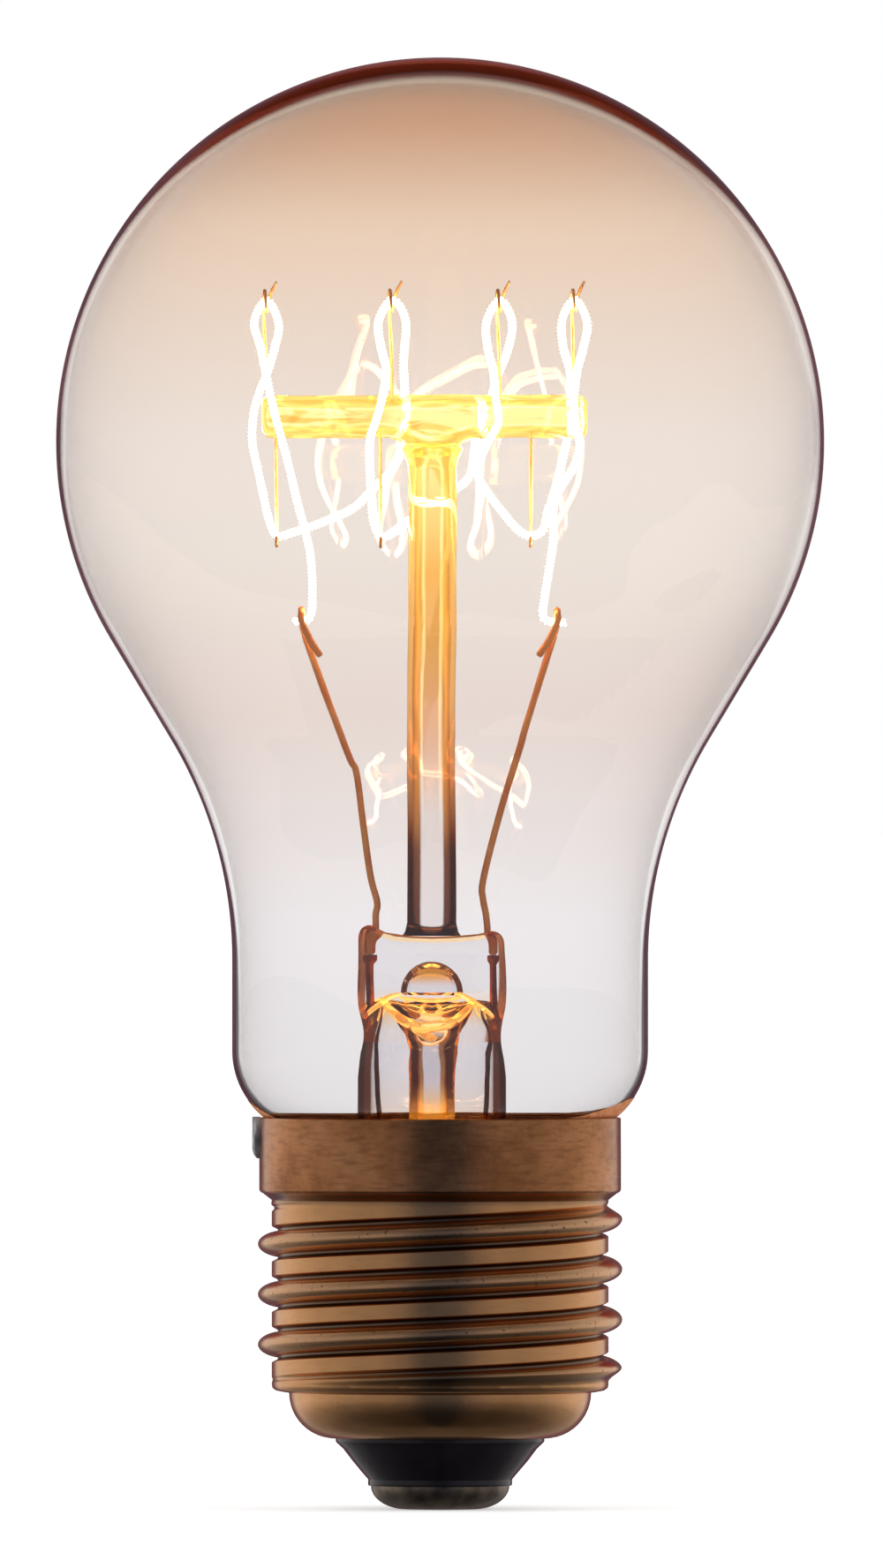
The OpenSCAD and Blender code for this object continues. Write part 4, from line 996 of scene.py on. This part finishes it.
# The strand's points, listed: [offset from the hook or clamp, Y, height as a share]
STRAND = [
    (LEFT_CLAMP_X, [(-0.6, 0, -2), (0, 0, -2), (0.5, 0, -1.98), (0.75, -0.1, -1.88), (0.8, -0.15, -1.75),
                    (0.8, -0.2, -1.5), (0.7, -0.4, -1.25), (0.4, -0.7, -1), (-0.3, -1.2, -0.7),
                    (-0.9, -1.8, -0.4)]),
    (UPPER_HOOK_X[0], [(0.7, -2.15, 0), (0.1, -1.7, 0.32), (-0.4, -0.9, 0.6), (-0.9, -0.1, 0.82), (0, 0, 1),
                       (0.9, 0.1, 0.8), (0.6, 0.8, 0.58), (0.1, 1.2, 0.38), (-0.5, 1.2, 0.2),
                       (-0.95, 0.9, 0), (-1.05, 0.8, -0.22)]),
    (LOWER_HOOK_X[0], [(-1.4, 0.6, -0.43), (-1, 0.4, -0.65), (-0.6, 0.2, -0.85), (0, 0, -1),
                       (1.2, 0.3, -0.97), (2.6, 0.7, -0.92)]),
    (LOWER_HOOK_X[1], [(-3.4, 0.9, -0.85), (-1.8, 1.2, -0.76), (-0.3, 1.6, -0.58), (0.7, 1.9, -0.46)]),
    (UPPER_HOOK_X[1], [(0.8, 2.15, -0.25), (1, 2.15, 0), (0.8, 1.4, 0.45), (0.95, 0.1, 0.83), (0, 0, 1),
                       (-0.95, -0.1, 0.82), (-0.8, -0.8, 0.6), (-0.4, -1.5, 0.4), (-0.6, -2.1, 0.2),
                       (-1, -2.15, 0), (-1.5, -2.1, -0.2)]),
    (LOWER_HOOK_X[1], [(-0.7, -1.5, -0.47), (-0.6, -0.9, -0.66), (-0.5, -0.25, -0.86), (0, 0, -1),
                       (0.8, 0.4, -0.97), (2, 1.9, -0.86)]),
    (STEM_X, [(0, 2.35, -0.71), (1.8, 1.9, -0.59), (2.7, 1.4, -0.49)]),
    (UPPER_HOOK_X[2], [(-1.9, 1.7, -0.3), (-1.6, 2.15, -0.08), (-0.8, 2, 0.1), (-0.3, 1.4, 0.3),
                       (0.6, 0.7, 0.58), (0.9, 0.1, 0.82), (0, 0, 1), (-0.95, -0.1, 0.82),
                       (-0.9, -0.8, 0.6), (-0.5, -1.4, 0.4), (-0.3, -2.1, 0.15), (-0.1, -2.15, -0.05),
                       (-0.8, -2, -0.2), (-1.6, -1.5, -0.4)]),
    (LOWER_HOOK_X[2], [(-3.9, -1.2, -0.5), (-3.4, -0.9, -0.6), (-2.5, -0.6, -0.74), (-1, -0.2, -0.94),
                       (0, 0, -1), (0.9, 0.1, -0.95), (1.2, 0.4, -0.8), (1.7, 0.8, -0.63)]),
    (UPPER_HOOK_X[3], [(-0.8, 1.7, -0.35), (-0.3, 2.15, -0.08), (-0.2, 2, 0.15), (-0.3, 1.2, 0.4),
                       (-0.8, 0.7, 0.6), (-0.9, 0.1, 0.83), (0, 0, 1), (0.9, -0.1, 0.8), (0.6, -0.9, 0.57),
                       (0.2, -1.5, 0.38), (0, -2.1, 0.15), (0.1, -2.15, -0.08), (0.4, -1.9, -0.24),
                       (0, -1.6, -0.41), (-1, -1.2, -0.6), (-1.5, -1, -0.76)]),
    (RIGHT_CLAMP_X, [(-0.3, -0.8, -1.05), (-0.6, -0.5, -1.4), (-0.95, -0.3, -1.75), (-1.05, -0.1, -1.9),
                     (-0.8, 0, -1.98), (0, 0, -2), (0.6, 0, -2)]),
]


def strand_z(share):
    """Height of a strand point: 1 is a loop's top, 0 the bar, -1 a lower bend and -2 a clamp."""
    if share >= 0:
        return BAR_Z + share * UPPER_RISE
    if share >= -1:
        return BAR_Z + share * LOWER_DROP
    return BAR_Z - LOWER_DROP + (share + 1) * (CLAMP_DROP - LOWER_DROP)


def make_filament(finish):
    """The strand: a fine wire wound into one long close coil, hung over the hooks."""
    route = smooth_path([(x + dx, y, strand_z(share)) for x, group in STRAND for dx, y, share in group], 12)
    wire_r, turn_pitch, steps, slack = 0.09, 0.27, 9, 0.15
    coil_r = FILAMENT_D / 2 - wire_r - slack
    frames = carried_frames(route)
    path, travelled, wanted = [], 0.0, 0.0
    step_length = turn_pitch / steps
    for i in range(len(route) - 1):
        length = (route[i + 1] - route[i]).length
        while wanted <= travelled + length:
            u = (wanted - travelled) / length
            a = 2 * pi * wanted / turn_pitch
            side = frames[i][1].lerp(frames[i + 1][1], u)
            up = frames[i][2].lerp(frames[i + 1][2], u)
            path.append(route[i].lerp(route[i + 1], u) + coil_r * (cos(a) * side + sin(a) * up))
            wanted += step_length
        travelled += length
    make_piece("filament_coil", swept(path, wire_r, 5), finish, "filament", "filament")


# Camera, light and floor


def place_object(name, data, location=(0, 0, 0), rotation=(0, 0, 0)):
    """An object of the studio, in the scene."""
    holder = bpy.data.objects.new(name, data)
    holder.location, holder.rotation_euler = location, rotation
    bpy.context.scene.collection.objects.link(holder)
    return holder


def make_camera():
    """A level camera far in front of the bulb, so that its rings look straight."""
    camera = bpy.data.cameras.new("camera")
    camera.lens = SENSOR * CAMERA_DISTANCE / VIEW_HEIGHT
    camera.sensor_width = SENSOR
    camera.clip_end = 100.0
    bpy.context.scene.camera = place_object(
        "camera", camera, (VIEW_CENTRE[0], -CAMERA_DISTANCE, VIEW_CENTRE[1]), (pi / 2, 0, 0))


def seen_through(tree, ray):
    """The studio's colour through glass: white, and a warm dark where the stem's glass has mirrored it."""
    mirrored = add(tree, "Math", ray["Glossy Depth"], 0.5, operation="GREATER_THAN")
    deep = add(tree, "Math", ray["Transmission Depth"], 3.5, operation="GREATER_THAN")
    in_stem = add(tree, "Math", mirrored, deep, operation="MULTIPLY")
    return add(tree, "Mix", in_stem, "#FFFFFF", "#5C2C18")


def make_world():
    """A white studio. Its front is dark, where the camera and the room stand, as metal shows it."""
    world = bpy.data.worlds.new("studio")
    world.use_nodes = True
    bpy.context.scene.world = world
    tree = world.node_tree
    ray = add(tree, "LightPath").node.outputs
    toward = add(tree, "TexCoord", out="Generated")
    split = add(tree, "SeparateXYZ", toward).node.outputs
    # Round the horizon, from the front at 0 to straight behind at 1
    level_way = add(tree, "CombineXYZ", split["X"], split["Y"])
    compass = add(tree, "VectorMath", level_way, operation="NORMALIZE")
    turned_way = add(tree, "SeparateXYZ", compass).node.outputs
    depth = add(tree, "MapRange", turned_way["Y"], -1.0, 1.0)
    around = add(tree, "ValToRGB", depth, stops={
        0: "#4E5666", 1: "#DCDAD8", 0.015: "#525A68", 0.04: "#7A7A82", 0.12: "#949290", 0.25: "#949290",
        0.36: "#A2A09E", 0.5: "#ACAAA8", 0.66: "#C2C0BE", 0.8: "#D8D6D4"})
    rise = add(tree, "MapRange", split["Z"], -1.0, 1.0)
    level = add(tree, "ValToRGB", rise, stops={
        0: "#585858", 1: "#8C8C8C", 0.15: "#6C6C6C", 0.3: "#B0B0B0", 0.42: "#FFFFFF", 0.62: "#FFFFFF"})
    shaded = add(tree, "VectorMath", around, level, operation="MULTIPLY")
    # Rims, which mirror what is straight behind, show a mauve dusk, and a dark red one above
    behind = add(tree, "MapRange", split["Y"], 0.87, 0.93)
    dusky = add(tree, "Mix", behind, shaded, "#705058")
    high = add(tree, "MapRange", split["Z"], 0.2, 0.35)
    back = add(tree, "MapRange", split["Y"], 0.76, 0.86)
    ceiling = add(tree, "Math", high, back, operation="MULTIPLY")
    reflected = add(tree, "Mix", ceiling, dusky, "#883420")
    seen = add(tree, "Math", ray["Is Camera Ray"], ray["Is Transmission Ray"], operation="MAXIMUM")
    bounced = add(tree, "Mix", ray["Is Glossy Ray"], "#E6E6E6", reflected)
    colour = add(tree, "Mix", seen, bounced, seen_through(tree, ray))
    fill(tree, tree.nodes["Background"], {"Color": colour, "Strength": 1.0})


def make_lamp(name, place, size, power):
    """A soft square lamp that points at the bulb and isn't seen in its glass."""
    lamp = bpy.data.lights.new(name, "AREA")
    lamp.size = size
    lamp.energy = power
    aim = Vector((0, 0, 0.05)) - Vector(place)
    holder = place_object(name, lamp, place, aim.to_track_quat("-Z", "Y").to_euler())
    holder.visible_glossy = False
    holder.visible_transmission = False


def make_floor():
    """A plain pale floor that looks white where no shadow lies on it."""
    finish, tree, shader, _ = new_finish("pale_floor")
    ray = add(tree, "LightPath").node.outputs
    through = ray["Is Transmission Ray"]
    own = add(tree, "Mix", through, "#E8E8E8", "#000000")
    lift = add(tree, "Mix", through, "#B4B4B4", seen_through(tree, ray))
    seen = add(tree, "Math", ray["Is Camera Ray"], ray["Is Glossy Ray"], operation="MAXIMUM")
    fill(tree, shader, {"Base Color": own, "Roughness": 0.9, "Emission Color": lift,
                        "Emission Strength": seen})
    mesh = bpy.data.meshes.new("floor")
    mesh.from_pydata([(x * FLOOR_REACH, y * FLOOR_REACH, 0) for x, y in ((-1, -1), (1, -1), (1, 1), (-1, 1))],
                     [], [(0, 1, 2, 3)])
    mesh.materials.append(finish)
    floor = place_object("floor", mesh)
    floor.visible_glossy = False


make_camera()
make_world()
make_floor()
make_lamp("key_lamp", (-0.5, -0.5, 0.7), size=0.5, power=1.6)
make_lamp("fill_lamp", (0.6, -0.3, 0.6), size=0.6, power=1.2)

# Melted tin solder: pale grey and dull, with a fine frosty grain
solder_finish = plain_metal("dull_tin_solder", "#E8E4E6", "#B0ACAE", grain=0.8, roughness=0.6)
# Tinned copper wire, drawn: brown and satin, with darker worn places
copper_wire = plain_metal("tinned_copper_wire", "#A8683C", "#6E3A20", grain=1.5, roughness=0.35)
# Molybdenum wire, drawn, with a thin oxide: its gold colour is painted light from the strand
hook_metal = plain_metal("molybdenum_wire", "#FFD090", "#E0A058", grain=1.5, roughness=0.35, bare=0.5)
# Copper-clad nickel-iron wire, sealed in the glass: copper red
dumet_metal = plain_metal("dumet_wire", "#E89060", "#B46038", grain=1.0, roughness=0.4)
# Nickel wire: a warm copper tint that is painted light from the strand, half matt
nickel_wire = plain_metal("nickel_wire_painted_warm", "#FFB060", "#F09048", grain=2.0, roughness=0.35, bare=0.4)
# Stamped brass of the contact, worn: grey-brown and satin
contact_brass = plain_metal("stamped_contact_brass", "#A89888", "#70645C", grain=1.2, roughness=0.4)

make_envelope(bulb_glass("blown_soda_lime_glass", painted_edge_from=0.82),
              bulb_glass("blown_glass_inner_skin", painted_edge_from=2.0))
make_flare_and_press(press_glass(), flare_glass(), bore_glass())
make_seal_folds(amber_glass())
make_exhaust_tube(exhaust_glass())
make_arbor_rod(rod_glass("drawn_rod_glass", streaks=(0.7, 0.7, 9.0)))
make_cross_bar(rod_glass("drawn_bar_glass", streaks=(5.0, 0.7, 0.7)))
make_screw_shell(aged_brass())
make_insulator(black_glass())
make_contact(contact_brass)
make_solders(solder_finish)
make_cement(basing_cement())
make_inner_lead("left", LEAD_X[0], LEFT_CLAMP_X, LEFT_LEAD_BENDS, nickel_wire)
make_inner_lead("right", LEAD_X[1], RIGHT_CLAMP_X, RIGHT_LEAD_BENDS, nickel_wire)
make_seal_wire("left", LEAD_X[0], dumet_metal)
make_seal_wire("right", LEAD_X[1], dumet_metal)
make_outer_leads(copper_wire)
for number, hook_x in enumerate(UPPER_HOOK_X, 1):
    make_upper_hook(number, hook_x, hook_metal)
for number, hook_x in enumerate(LOWER_HOOK_X, 1):
    make_lower_hook(number, hook_x, hook_metal)
make_filament(lit_strand())

scene = bpy.context.scene
scene.view_settings.view_transform = "Standard"
scene.cycles.max_bounces = 24
scene.cycles.transmission_bounces = 24
scene.cycles.glossy_bounces = 8
scene.cycles.diffuse_bounces = 4
scene.cycles.sample_clamp_indirect = 30.0
scene.cycles.use_denoising = True
